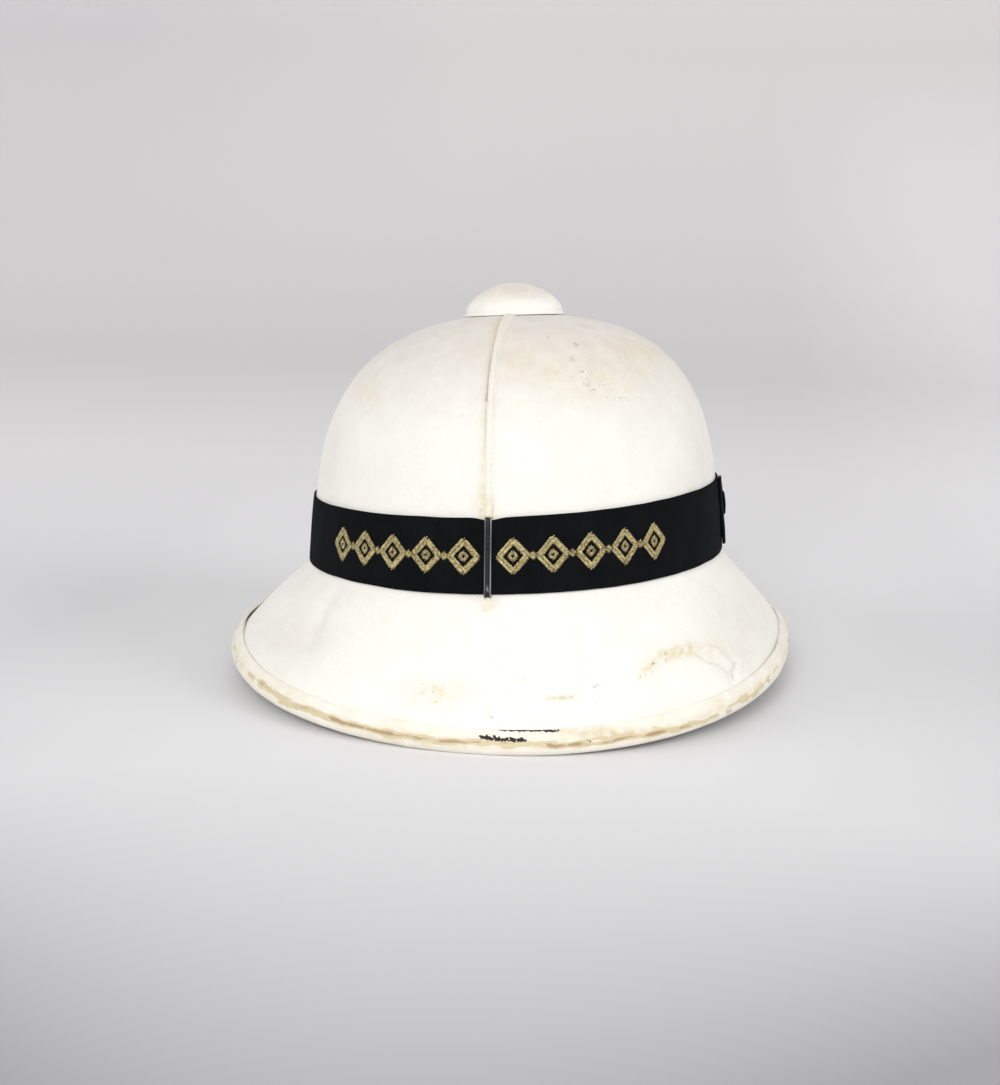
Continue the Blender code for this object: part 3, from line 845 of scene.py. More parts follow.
@dataclass(frozen=True)
class StitchThread:
    """Cotton or gilt thread, laid as a row of short stitches by Geometry Nodes."""

    spacing: float
    length: float
    thickness: float
    tilt: float = 0.0
    shift: float = 0.0
    seed: int = 3
    segments: int = 6
    rings: int = 4

    def tree(self) -> bpy.types.NodeTree:
        """Node tree that lays one stitch after another along a path.

        Returns:
            The tree, made once and used again.
        """
        known = bpy.data.node_groups.get("stitch_row")
        if known:
            return known
        made = bpy.data.node_groups.new("stitch_row", "GeometryNodeTree")
        face = made.interface
        face.new_socket("Path", in_out="INPUT", socket_type="NodeSocketGeometry")
        for name in ("Spacing", "Length", "Thickness", "Tilt", "Side Shift"):
            face.new_socket(name, in_out="INPUT", socket_type="NodeSocketFloat")
        for name in ("Seed", "Segments", "Rings"):
            face.new_socket(name, in_out="INPUT", socket_type="NodeSocketInt")
        face.new_socket("Finish", in_out="INPUT", socket_type="NodeSocketMaterial")
        face.new_socket("Stitches", in_out="OUTPUT", socket_type="NodeSocketGeometry")
        self.wire(made)
        return made

    def wire(self, made: bpy.types.NodeTree) -> None:
        """Adds and joins the tree's nodes.

        Args:
            made: The tree, which has its sockets.
        """
        def node(kind: str, inputs: dict, **settings: object) -> bpy.types.Node:
            """Adds a node with its settings and inputs."""
            new = made.nodes.new(kind)
            for key, value in settings.items():
                setattr(new, key, value)
            for key, value in inputs.items():
                if isinstance(value, bpy.types.NodeSocket):
                    made.links.new(value, new.inputs[key])
                else:
                    new.inputs[key].default_value = value
            return new

        given = node("NodeGroupInput", {}).outputs
        curve = node("GeometryNodeMeshToCurve", {"Mesh": given["Path"]}).outputs[0]
        evened = node("GeometryNodeResampleCurve", {"Curve": curve, "Length": given["Spacing"]}, mode="LENGTH")
        normal = node("GeometryNodeInputNamedAttribute", {"Name": "surface_normal"}, data_type="FLOAT_VECTOR")
        tangent = node("GeometryNodeInputTangent", {}).outputs[0]
        side = node("ShaderNodeVectorMath", {0: normal.outputs[0], 1: tangent}, operation="CROSS_PRODUCT")
        cosine = node("ShaderNodeMath", {0: given["Tilt"]}, operation="COSINE").outputs[0]
        sine = node("ShaderNodeMath", {0: given["Tilt"]}, operation="SINE").outputs[0]
        ahead = node("ShaderNodeVectorMath", {0: tangent, "Scale": cosine}, operation="SCALE").outputs[0]
        sideways = node("ShaderNodeVectorMath", {0: side.outputs[0], "Scale": sine}, operation="SCALE").outputs[0]
        way = node("ShaderNodeVectorMath", {0: ahead, 1: sideways}, operation="ADD").outputs[0]
        moved = node("ShaderNodeVectorMath", {0: side.outputs[0], "Scale": given["Side Shift"]},
                     operation="SCALE").outputs[0]
        shifted = node("GeometryNodeSetPosition", {"Geometry": evened.outputs[0], "Offset": moved})
        along = node("FunctionNodeAlignRotationToVector", {"Vector": way}, axis="X")
        turned = node("FunctionNodeAlignRotationToVector", {"Rotation": along.outputs[0],
                                                             "Vector": normal.outputs[0]},
                      axis="Z", pivot_axis="X")
        chance = node("FunctionNodeRandomValue", {"Seed": given["Seed"]}, data_type="FLOAT")
        chance.inputs[2].default_value = 0.85
        chance.inputs[3].default_value = 1.12
        half_length = node("ShaderNodeMath", {0: given["Length"], 1: 0.5}, operation="MULTIPLY").outputs[0]
        half_width = node("ShaderNodeMath", {0: given["Thickness"], 1: 0.5}, operation="MULTIPLY").outputs[0]
        size = node("ShaderNodeCombineXYZ", {0: half_length, 1: half_width, 2: half_width}).outputs[0]
        varied = node("ShaderNodeVectorMath", {0: size, "Scale": chance.outputs[1]}, operation="SCALE").outputs[0]
        stitch = node("GeometryNodeMeshUVSphere", {"Segments": given["Segments"], "Rings": given["Rings"],
                                                   "Radius": 1.0}).outputs[0]
        laid = node("GeometryNodeInstanceOnPoints", {"Points": shifted.outputs[0], "Instance": stitch,
                                                     "Rotation": turned.outputs[0], "Scale": varied})
        real = node("GeometryNodeRealizeInstances", {0: laid.outputs[0]})
        smooth = node("GeometryNodeSetShadeSmooth", {0: real.outputs[0]})
        dressed = node("GeometryNodeSetMaterial", {"Geometry": smooth.outputs[0], "Material": given["Finish"]})
        node("NodeGroupOutput", {0: dressed.outputs[0]})

    def lay(self, name: str, paths: Sequence[tuple[Array, Array, bool]],
            finish: bpy.types.Material) -> bpy.types.Mesh:
        """Lays stitches along paths.

        Args:
            name: Name of the new mesh.
            paths: Points, normals and whether the path is closed, for each path.
            finish: Material of the thread.

        Returns:
            One mesh with all stitches.
        """
        points: list[list[float]] = []
        normals: list[Array] = []
        edges: list[tuple[int, int]] = []
        for path, normal, closed in paths:
            first = len(points)
            points += path.tolist()
            normals.append(normal)
            edges += [(first + i, first + i + 1) for i in range(len(path) - 1)]
            if closed:
                edges.append((first + len(path) - 1, first))
        line = bpy.data.meshes.new(name)
        line.from_pydata(points, edges, [])
        layer = line.attributes.new("surface_normal", "FLOAT_VECTOR", "POINT")
        layer.data.foreach_set("vector", np.concatenate(normals).astype(np.float32).ravel())
        holder = bpy.data.objects.new(name, line)
        bpy.context.scene.collection.objects.link(holder)
        nodes = holder.modifiers.new("stitches", "NODES")
        nodes.node_group = self.tree()
        values = {"Spacing": self.spacing, "Length": self.length, "Thickness": self.thickness,
                  "Tilt": self.tilt, "Side Shift": self.shift, "Seed": self.seed,
                  "Segments": self.segments, "Rings": self.rings, "Finish": finish}
        for socket in nodes.node_group.interface.items_tree:
            if socket.in_out == "INPUT" and socket.name in values:
                nodes[socket.identifier] = values[socket.name]
        return baked(holder, name)


def joined(name: str, meshes: Iterable[bpy.types.Mesh]) -> bpy.types.Mesh:
    """Puts several plain meshes together.

    Args:
        name: Name of the new mesh.
        meshes: The meshes, which are used up.

    Returns:
        One mesh.
    """
    places: list[list[float]] = []
    faces: list[list[int]] = []
    for mesh in meshes:
        first = len(places)
        places += [list(vertex.co) for vertex in mesh.vertices]
        faces += [[first + index for index in face.vertices] for face in mesh.polygons]
        bpy.data.meshes.remove(mesh)
    made = bpy.data.meshes.new(name)
    made.from_pydata(places, [], faces)
    made.shade_smooth()
    return made


COVER_MARKS = (
    Mark(Trace.TAN, ((484.0, 509.0),), (9.0, 12.0), 0.62),
    Mark(Trace.TAN, ((484.0, 420.0), (483.0, 500.0)), (5.0, 0.0), 0.34),
    Mark(Trace.TAN, ((488.0, 606.0),), (8.0, 7.0), 0.60),
    Mark(Trace.TAN, ((435.0, 692.0),), (30.0, 12.0), 0.42),
    Mark(Trace.TAN, ((560.0, 698.0),), (16.0, 3.5), 0.42),
    Mark(Trace.TAN, ((641.0, 674.0), (651.0, 663.0), (665.0, 656.0), (688.0, 649.0)), (6.0, 0.0), 0.62),
    Mark(Trace.TAN, ((700.0, 650.0),), (38.0, 10.0), 0.28),
    Mark(Trace.TAN, ((553.0, 373.0),), (9.0, 5.0), 0.62),
    Mark(Trace.TAN, ((595.0, 378.0),), (46.0, 24.0), 0.24),
    Mark(Trace.TAN, ((522.0, 360.0),), (20.0, 14.0), 0.25),
    Mark(Trace.TAN, ((366.0, 392.0),), (12.0, 26.0), 0.28),
    Mark(Trace.TAN, ((645.0, 352.0),), (28.0, 16.0), 0.30),
    # Painted shade: these grey marks darken the brim's left and right sides and the crown's left and right flanks,
    # where the surface turns from the light.
    Mark(Trace.GREY, ((292.0, 640.0),), (44.0, 26.0), 0.22),
    Mark(Trace.GREY, ((740.0, 628.0),), (34.0, 44.0), 0.24),
    Mark(Trace.GREY, ((700.0, 445.0),), (14.0, 70.0), 0.16),
    Mark(Trace.GREY, ((334.0, 450.0),), (12.0, 60.0), 0.16),
    Mark(Trace.FLECKS, ((586.0, 376.0), (592.0, 388.0), (610.0, 396.0), (622.0, 394.0)), (6.0, 0.0), 1.0),
    Mark(Trace.FLECKS, ((553.0, 373.0),), (9.0, 6.0), 0.6),
    Mark(Trace.FLECKS, ((604.0, 374.0),), (40.0, 26.0), 0.42),
    Mark(Trace.FLECKS, ((641.0, 674.0), (651.0, 663.0), (665.0, 656.0)), (7.0, 0.0), 0.8),
    Mark(Trace.FLECKS, ((595.0, 692.0),), (12.0, 14.0), 0.7),
    Mark(Trace.FLECKS, ((432.0, 693.0),), (30.0, 12.0), 0.6),
    Mark(Trace.DARK, ((735.0, 663.0), (731.5, 672.0), (733.0, 681.0)), (1.5, 0.0), 0.30),
    Mark(Trace.DARK, ((696.0, 655.0), (707.0, 662.5), (716.0, 664.0), (728.0, 673.0)), (1.0, 0.0), 0.22),
    Mark(Trace.DARK, ((546.0, 698.0), (572.0, 697.0)), (1.6, 0.0), 0.35),
    Mark(Trace.DARK, ((491.0, 717.0),), (1.6, 1.6), 0.6),
    Mark(Trace.DARK, ((523.0, 678.0),), (2.4, 1.4), 0.4),
    Mark(Trace.TAN, ((488.0, 352.0), (494.0, 337.0), (501.0, 323.0)), (8.0, 0.0), 0.34),
    # Painted shadow: a dark line on the cover along the front seam's left edge.
    Mark(Trace.DARK, ((487.0, 400.0), (489.0, 384.0), (491.5, 362.0)), (1.6, 0.0), 0.80),
    Mark(Trace.DARK, ((485.0, 448.0), (486.5, 410.0)), (1.2, 0.0), 0.30),
    Mark(Trace.DARK, ((548.0, 338.0),), (1.3, 1.3), 0.7),
    Mark(Trace.DARK, ((576.0, 344.0),), (1.2, 1.2), 0.7),
    Mark(Trace.DARK, ((458.0, 373.0),), (1.3, 1.6), 0.6),
    Mark(Trace.DARK, ((572.5, 360.0),), (2.2, 1.4), 0.5),
    Mark(Trace.RELIEF, ((522.0, 362.0),), (12.0, 8.5), -0.85),
    Mark(Trace.RELIEF, ((503.0, 362.0), (512.0, 353.0), (523.0, 351.0), (535.0, 364.0)), (2.6, 0.0), 0.42),
    Mark(Trace.RELIEF, ((331.0, 595.0), (321.0, 612.0), (309.0, 643.0)), (7.0, 0.0), -1.5),
    Mark(Trace.RELIEF, ((650.0, 672.0), (665.0, 655.0), (690.0, 646.0), (715.0, 650.0), (733.0, 668.0)),
         (2.8, 0.0), 0.75),
    Mark(Trace.RELIEF, ((696.0, 663.0),), (32.0, 12.0), 0.75),
    Mark(Trace.RELIEF, ((735.0, 662.0), (731.5, 672.0), (732.0, 682.0)), (3.0, 0.0), -0.70),
    Mark(Trace.RELIEF, ((741.0, 660.0), (738.0, 684.0)), (3.0, 0.0), 0.35),
    Mark(Trace.RELIEF, ((381.0, 371.0), (363.0, 397.0), (363.0, 417.0)), (2.6, 0.0), 0.16),
    Mark(Trace.RELIEF, ((696.0, 655.0), (728.0, 673.0)), (2.0, 0.0), -0.25),
)


@dataclass(frozen=True)
class CoverRelief:
    """How far the cloth stands above or below the smooth form."""

    form: HelmetForm
    chart: WearAndShadeChart
    broad: float = 0.26 * MM
    middle: float = 0.14 * MM
    fine: float = 0.05 * MM

    def at(self, points: Array, normals: Array) -> Array:
        """Height of the cloth over the form.

        Args:
            points: Points of the smooth form.
            normals: Outward normals there.

        Returns:
            Heights in metres.
        """
        hand = (self.broad * ripple(points, 0.050, 1) + self.middle * ripple(points, 0.017, 2)
                + self.fine * ripple(points, 0.006, 3))
        return hand + self.chart.layer(Trace.RELIEF, points, normals) * MM


@dataclass
class CrownAndBrim:
    """The cloth-covered pith wall of crown and brim: one closed shell, open below."""

    form: HelmetForm
    relief: CoverRelief
    ribbon_top: float = 0.0330
    columns: int = 690
    crown_rows: int = 60
    band_rows: int = 4
    fillet_rows: int = 6
    brim_rows: int = 54
    fillet_height: float = 0.0060
    inner_share: int = 8
    pole_radius: float = 0.006

    def angles(self) -> Array:
        """Plan angles of the columns, closer together where the cloth is creased."""
        fine = np.linspace(-math.pi, math.pi, 7201)
        density = 1.0 + 1.1 * np.exp(-((fine / 1.35) ** 4)) + 1.3 * bell(fine, math.radians(48.0), math.radians(14.0))
        total = np.concatenate([[0.0], np.cumsum((density[1:] + density[:-1]) / 2.0)])
        return np.interp((np.arange(self.columns) + 0.5) / self.columns, total / total[-1], fine)

    def crown_climbs(self) -> Array:
        """Heights of the crown's rows as climbs, an even distance apart down the slope."""
        side = np.array(math.pi / 2.0)
        last = self.ribbon_top / (self.form.crown_top - float(self.form.waist_height(side)))
        turn = np.linspace(0.004, math.acos(last), 900)
        climbs = np.cos(turn)
        line = self.form.crown_point(np.full_like(climbs, math.pi / 2.0), climbs)
        length = np.concatenate([[0.0], np.cumsum(np.linalg.norm(np.diff(line, axis=0), axis=-1))])
        return np.interp(np.linspace(self.pole_radius, length[-1], self.crown_rows), length, climbs)

    def base_rows(self) -> Array:
        """Points of the smooth outside, from the top down to the cut edge."""
        angle = self.angles()
        rows = [self.form.crown_point(angle, np.full_like(angle, climb)) for climb in self.crown_climbs()]
        band = np.linspace(self.ribbon_top, self.fillet_height, self.band_rows + 1)[1:]
        fillet = np.linspace(self.fillet_height, 0.0, self.fillet_rows + 1)[1:-1]
        rows += [self.form.crown_frame(angle, height)[0] for height in np.concatenate([band, fillet])]
        rows += [self.form.brim_point(angle, np.full_like(angle, reach))
                 for reach in np.linspace(0.0, 1.0, self.brim_rows)]
        return np.array(rows)

    def softened(self, rows: Array) -> Array:
        """Rounds the turn from crown to brim."""
        waist = self.crown_rows + self.band_rows + self.fillet_rows - 1
        for _ in range(6):
            part = slice(waist - 3, waist + 5)
            above, below = slice(waist - 4, waist + 4), slice(waist - 2, waist + 6)
            rows[part] = rows[part] * 0.5 + (rows[above] + rows[below]) * 0.25
        return rows

    def normals(self, rows: Array) -> Array:
        """Outward normals of a grid of points."""
        down = np.gradient(rows, axis=0)
        along = np.roll(rows, -1, axis=1) - np.roll(rows, 1, axis=1)
        return unit(np.cross(down, along))

    def build(self, finish: bpy.types.Material) -> bpy.types.Object:
        """Builds and dresses the shell.

        Args:
            finish: Whitened cloth.

        Returns:
            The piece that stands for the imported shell.
        """
        base = self.softened(self.base_rows())
        normals = self.normals(base)
        count = len(base)
        band = np.arange(count)[:, None]
        under_band = bell(band, self.crown_rows + self.band_rows / 2.0, 3.6)
        under_edge = smooth_step(band, count - 5.0, count - 2.0)
        free = np.clip(1.0 - under_band - under_edge, 0.0, 1.0)
        outer = base + normals * (self.relief.at(base, normals) * free)[..., None]
        chosen = sorted(set(range(0, count, self.inner_share)) | {count - 1})[::-1]
        inner = (base - normals * self.form.wall)[chosen]
        points = np.concatenate([outer, inner])
        angle = np.broadcast_to(self.angles(), (len(points), self.columns))
        lengths = np.linalg.norm(np.diff(points[:, 0], axis=0), axis=-1)
        down = np.concatenate([[0.0], np.cumsum(lengths)])[:, None] + 0.0 * angle
        reference = 0.110
        layers = {}
        for kind in (Trace.TAN, Trace.GREY, Trace.FLECKS, Trace.DARK):
            seen = self.relief.chart.layer(kind, outer, normals)
            layers[kind.value] = np.concatenate([seen, np.zeros((len(inner), self.columns))])
        layers[Trace.GREY.value] += self.top_shade_and_dust(points)
        layers[Trace.TAN.value] += self.scattered_stains(points)
        top = self.form.crown_point(np.array(0.0), np.array(1.0 - 1e-9))
        grid = PointGrid(points, first_pole=top, last_pole=top - np.array([0.0, 0.0, self.form.wall]),
                         uv=np.stack([angle * reference, down], -1),
                         uv_period=(2.0 * math.pi * reference, 0.0), layers=layers)
        return add_piece("cover_cloth", grid.mesh("cover_cloth"), finish, "shell")

    def top_shade_and_dust(self, points: Array) -> Array:
        """Painted shade that greys the crown towards its top, and faint patchy soil in places."""
        height = points[..., 2]
        return 0.56 * smooth_step(height, 0.112, 0.168) + 0.05 * np.maximum(ripple(points, 0.060, 6), 0.0)

    def scattered_stains(self, points: Array) -> Array:
        """Faint stains that no photo shows, on the sides and the back."""
        away = smooth_step(points[..., 1], -0.050, 0.050)
        return away * 0.55 * np.maximum(ripple(points, 0.035, 8) - 0.25, 0.0)


BINDING_MARKS = (
    Mark(Trace.WEAR_AND_HIGHLIGHT, ((262.0, 683.0), (287.0, 703.5), (315.7, 714.0), (344.4, 723.6), (392.2, 734.0),
                      (440.0, 741.0), (487.9, 741.5)), (3.0, 0.0), 0.42),
    Mark(Trace.WEAR_AND_HIGHLIGHT, ((487.9, 741.5), (557.4, 745.6), (595.7, 744.6), (643.5, 735.5), (691.3, 725.5),
                      (729.6, 711.0), (762.0, 688.0)), (3.0, 0.0), 0.42),
    Mark(Trace.WEAR_AND_HIGHLIGHT, ((330.0, 719.0), (344.4, 723.6), (392.2, 734.5), (440.0, 741.5), (480.0, 742.0)),
         (2.6, 0.0), 0.38),
    Mark(Trace.WEAR_AND_HIGHLIGHT, ((548.0, 746.0), (595.7, 744.6), (643.5, 736.0), (690.0, 726.0)), (2.6, 0.0), 0.36),
    Mark(Trace.WEAR_AND_HIGHLIGHT, ((275.0, 692.0), (300.0, 706.0), (340.0, 719.0)), (1.8, 0.0), 0.30),
    Mark(Trace.TAN, ((600.0, 732.5),), (42.0, 6.0), 0.75),
    Mark(Trace.TAN, ((455.0, 742.0),), (70.0, 5.0), 0.45),
    Mark(Trace.TAN, ((392.0, 733.0),), (40.0, 6.0), 0.30),
    Mark(Trace.BARE, ((497.0, 729.5), (528.0, 730.5), (560.0, 730.5)), (1.5, 0.0), 0.85),
    Mark(Trace.BARE, ((481.0, 737.0), (500.0, 739.5), (524.0, 740.0)), (2.9, 0.0), 0.82),
    Mark(Trace.BARE, ((590.0, 741.0),), (2.2, 2.2), 1.0),
)


@dataclass
class EdgeBinding:
    """Leather strip folded round the brim's edge, with a rubbed ridge along its outer corner."""

    form: HelmetForm
    chart: WearAndShadeChart
    columns: int = 620
    leg_steps: int = 8
    roll_steps: int = 18
    hidden_steps: int = 7
    clearance: float = 0.12 * MM
    lifted_ends: tuple[float, ...] = (math.radians(-79.0), math.radians(72.0))
    lift: float = 1.0 * MM
    ridge: float = 0.24 * MM
    upslope: float = 0.5 * MM

    def outer_profile(self) -> list[tuple[str, float, float]]:
        """Outer face as stretches: which stretch, how far along it and how much of the thickness."""
        rounding = ((0.0, 0.10), (0.0, 0.55), (0.02, 0.82), (0.07, 0.96))
        profile = [("leg", along, rise) for along, rise in rounding]
        profile += [("leg", along, 1.0) for along in np.linspace(0.14, 0.97, self.leg_steps)]
        profile += [("roll", turn, 1.0) for turn in np.linspace(0.0, math.pi, self.roll_steps)]
        profile += [("inner", along, 1.0) for along in np.linspace(0.12, 0.88, self.hidden_steps)]
        profile += [("inner", along, rise) for along, rise in ((0.95, 0.95), (0.99, 0.75), (1.0, 0.4), (1.0, 0.1))]
        return profile

    def back_profile(self) -> list[tuple[str, float, float]]:
        """Face against the brim, from the inner leg back to the outer one."""
        profile = [("inner", along, 0.0) for along in np.linspace(0.97, 0.10, 4)]
        profile += [("roll", turn, 0.0) for turn in np.linspace(math.pi, 0.0, 9)]
        profile += [("leg", along, 0.0) for along in np.linspace(0.9, 0.03, 4)]
        return profile

    def build(self, finish: bpy.types.Material) -> bpy.types.Object:
        """Builds and dresses the binding.

        Args:
            finish: Worn leather.

        Returns:
            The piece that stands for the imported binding.
        """
        angle = np.linspace(-math.pi, math.pi, self.columns, endpoint=False)
        start, corner, normal, down = self.form.edge_frame(angle)
        centre = corner - normal * (self.form.wall / 2.0)
        leg = np.linalg.norm(corner - start, axis=-1)
        thick = self.form.gap + self.form.leather - self.clearance
        lifted = sum(bell(angle, at, math.radians(8.0)) for at in self.lifted_ends) * self.lift
        wave = 0.00022 * ripple(start, 0.020, 11) + 0.00012 * ripple(start, 0.006, 12)
        rows, ridge_share = [], []
        for kind, along, rise in self.outer_profile() + self.back_profile():
            swell = 0.0
            if kind == "leg":
                distance = along * leg - (wave + self.upslope) * (1.0 - along)
                raised = lifted * np.exp(-((distance / 0.0026) ** 2))
                swell = self.ridge * bell(distance - leg, -0.0006, 0.0011)
                height = self.clearance + thick * rise + raised + swell * rise
                point = start + down * distance[..., None] + normal * height[..., None]
                ridge_share.append(bell(distance - leg, -0.0004, 0.0013))
            elif kind == "roll":
                swell = self.ridge * float(bell(np.array(along), 0.0, 0.35))
                radius = self.form.wall / 2.0 + self.clearance + thick * rise + swell * rise
                way = normal * math.cos(along) + down * math.sin(along)
                point = centre + way * radius
                ridge_share.append(np.full_like(angle, float(bell(np.array(along), 0.0, 0.42))))
            else:
                depth = self.form.wall / 2.0 + self.clearance + thick * rise
                point = centre - normal * depth - down * (along * self.form.inner_leg)
                ridge_share.append(np.zeros_like(angle))
            rows.append(point)
        points = np.array(rows)
        outside = len(self.outer_profile())
        towards = self.normals(points)
        uneven = 0.00010 * ripple(points, 0.009, 13) + 0.00005 * ripple(points, 0.003, 14)
        uneven[outside:] = 0.0
        points = points + towards * uneven[..., None]
        points[..., 2] = np.maximum(points[..., 2], 0.0)
        ridge = np.array(ridge_share)
        ridge[outside:] = 0.0
        layers = {kind.value: self.chart.layer(kind, points, towards)
                  for kind in (Trace.WEAR_AND_HIGHLIGHT, Trace.TAN, Trace.BARE)}
        layers[Trace.WEAR_AND_HIGHLIGHT.value] += ridge * (0.34 + 0.18 * ripple(points, 0.045, 15))
        layers[Trace.TAN.value] += 0.35 * ridge
        around = np.broadcast_to(angle * 0.14, ridge.shape)
        along = np.broadcast_to((np.arange(len(points)) * 0.0007)[:, None], ridge.shape)
        grid = PointGrid(points, loop_rows=True, uv=np.stack([around, along], -1),
                         uv_period=(2.0 * math.pi * 0.14, len(points) * 0.0007), layers=layers)
        return add_piece("edge_leather", grid.mesh("edge_leather"), finish, "binding")

    def normals(self, points: Array) -> Array:
        """Outward normals of the closed strip."""
        down = np.roll(points, -1, axis=0) - np.roll(points, 1, axis=0)
        along = np.roll(points, -1, axis=1) - np.roll(points, 1, axis=1)
        return unit(np.cross(down, along))


BUTTON_MARKS = (
    # Painted shade: the grey mark darkens the button's upward-facing top.
    Mark(Trace.GREY, ((515.0, 292.0),), (34.0, 9.0), 0.42),
    Mark(Trace.TAN, ((498.0, 296.0),), (10.0, 5.0), 0.16),
    Mark(Trace.FLECKS, ((527.0, 291.0),), (12.0, 5.0), 0.5),
    Mark(Trace.FLECKS, ((490.0, 301.0),), (9.0, 5.0), 0.4),
)


@dataclass
class VentilatorButton:
    """Cloth-covered ventilator button with a thin lip, on the sloping top of the crown."""

    form: HelmetForm
    chart: WearAndShadeChart
    radius: float = 0.0225
    height: float = 0.0146
    to_left: float = -0.0012
    lip_width: float = 0.0004
    lip_height: float = 0.0010
    lip_edge: float = 0.0006
    skirt: float = 0.0007
    wall: float = 0.0020
    columns: int = 128
    dome_rows: int = 34
    slackness: float = 1.15

    def profile(self) -> list[tuple[float, float]]:
        """Radius and height of each row, from the top over the lip and back up inside."""
        dome = self.height - self.lip_height
        rows = []
        for step in range(1, self.dome_rows + 1):
            turn = math.pi / 2.0 * (1.0 - step / self.dome_rows)
            rows.append((self.radius * abs(math.cos(turn)) ** self.slackness,
                         self.lip_height + dome * math.sin(turn) ** self.slackness))
        edge = self.radius + self.lip_width
        rows += [(self.radius + 0.00005, self.lip_height - 0.0002), (edge - 0.0002, self.lip_edge),
                 (edge, 0.0002), (edge + 0.0001, -self.skirt * 0.6), (edge, -self.skirt)]
        rows += [(edge - self.wall, -self.skirt * 0.5), (self.radius - self.wall, self.lip_height)]
        for step in range(6, 0, -1):
            turn = math.pi / 2.0 * (1.0 - step / 7.0)
            rows.append(((self.radius - self.wall) * math.cos(turn),
                         self.lip_height + (dome - self.wall) * math.sin(turn)))
        return rows

    def build(self, finish: bpy.types.Material) -> bpy.types.Object:
        """Builds and dresses the button.

        Args:
            finish: Whitened cloth.

        Returns:
            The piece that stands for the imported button.
        """
        roll = math.atan2(self.form.slope_left, self.form.crown_half_width)
        pitch = math.atan2(self.form.slope_front, self.form.crown_front)
        seat = self.form.axis() + np.array([self.form.lean_left + self.to_left, self.form.lean_back,
                                            self.form.crown_top + self.form.gap])
        turn = np.array(Matrix.Rotation(-roll, 3, "Y") @ Matrix.Rotation(-pitch, 3, "X"))
        angle = np.linspace(-math.pi, math.pi, self.columns, endpoint=False)
        local = np.array([self.form.heading(angle) * radius + np.array([0.0, 0.0, height])
                          for radius, height in self.profile()])
        rough = 0.00012 * ripple(local, 0.011, 21) + 0.00005 * ripple(local, 0.003, 22)
        rough[self.dome_rows:] *= 0.3
        local = local + unit(local) * rough[..., None]
        points = local @ turn.T + seat
        normals = unit(points - (seat - np.array([0.0, 0.0, 0.006])))
        layers = {kind.value: self.chart.layer(kind, points, normals)
                  for kind in (Trace.GREY, Trace.TAN, Trace.FLECKS, Trace.DARK)}
        # Painted shade: the button greys towards its top.
        layers[Trace.GREY.value] += 0.24 * smooth_step(local[..., 2], 0.002, 0.013)
        tip = np.array([0.0, 0.0, self.height]) @ turn.T + seat
        under = np.array([0.0, 0.0, self.height - self.wall]) @ turn.T + seat
        around = np.broadcast_to(angle * self.radius, rough.shape)
        down = np.broadcast_to(np.arange(len(points))[:, None] * 0.0009, rough.shape)
        grid = PointGrid(points, first_pole=tip, last_pole=under, uv=np.stack([around, down], -1),
                         uv_period=(2.0 * math.pi * self.radius, 0.0), layers=layers)
        return add_piece("button_cap", grid.mesh("button_cap"), finish, "button")


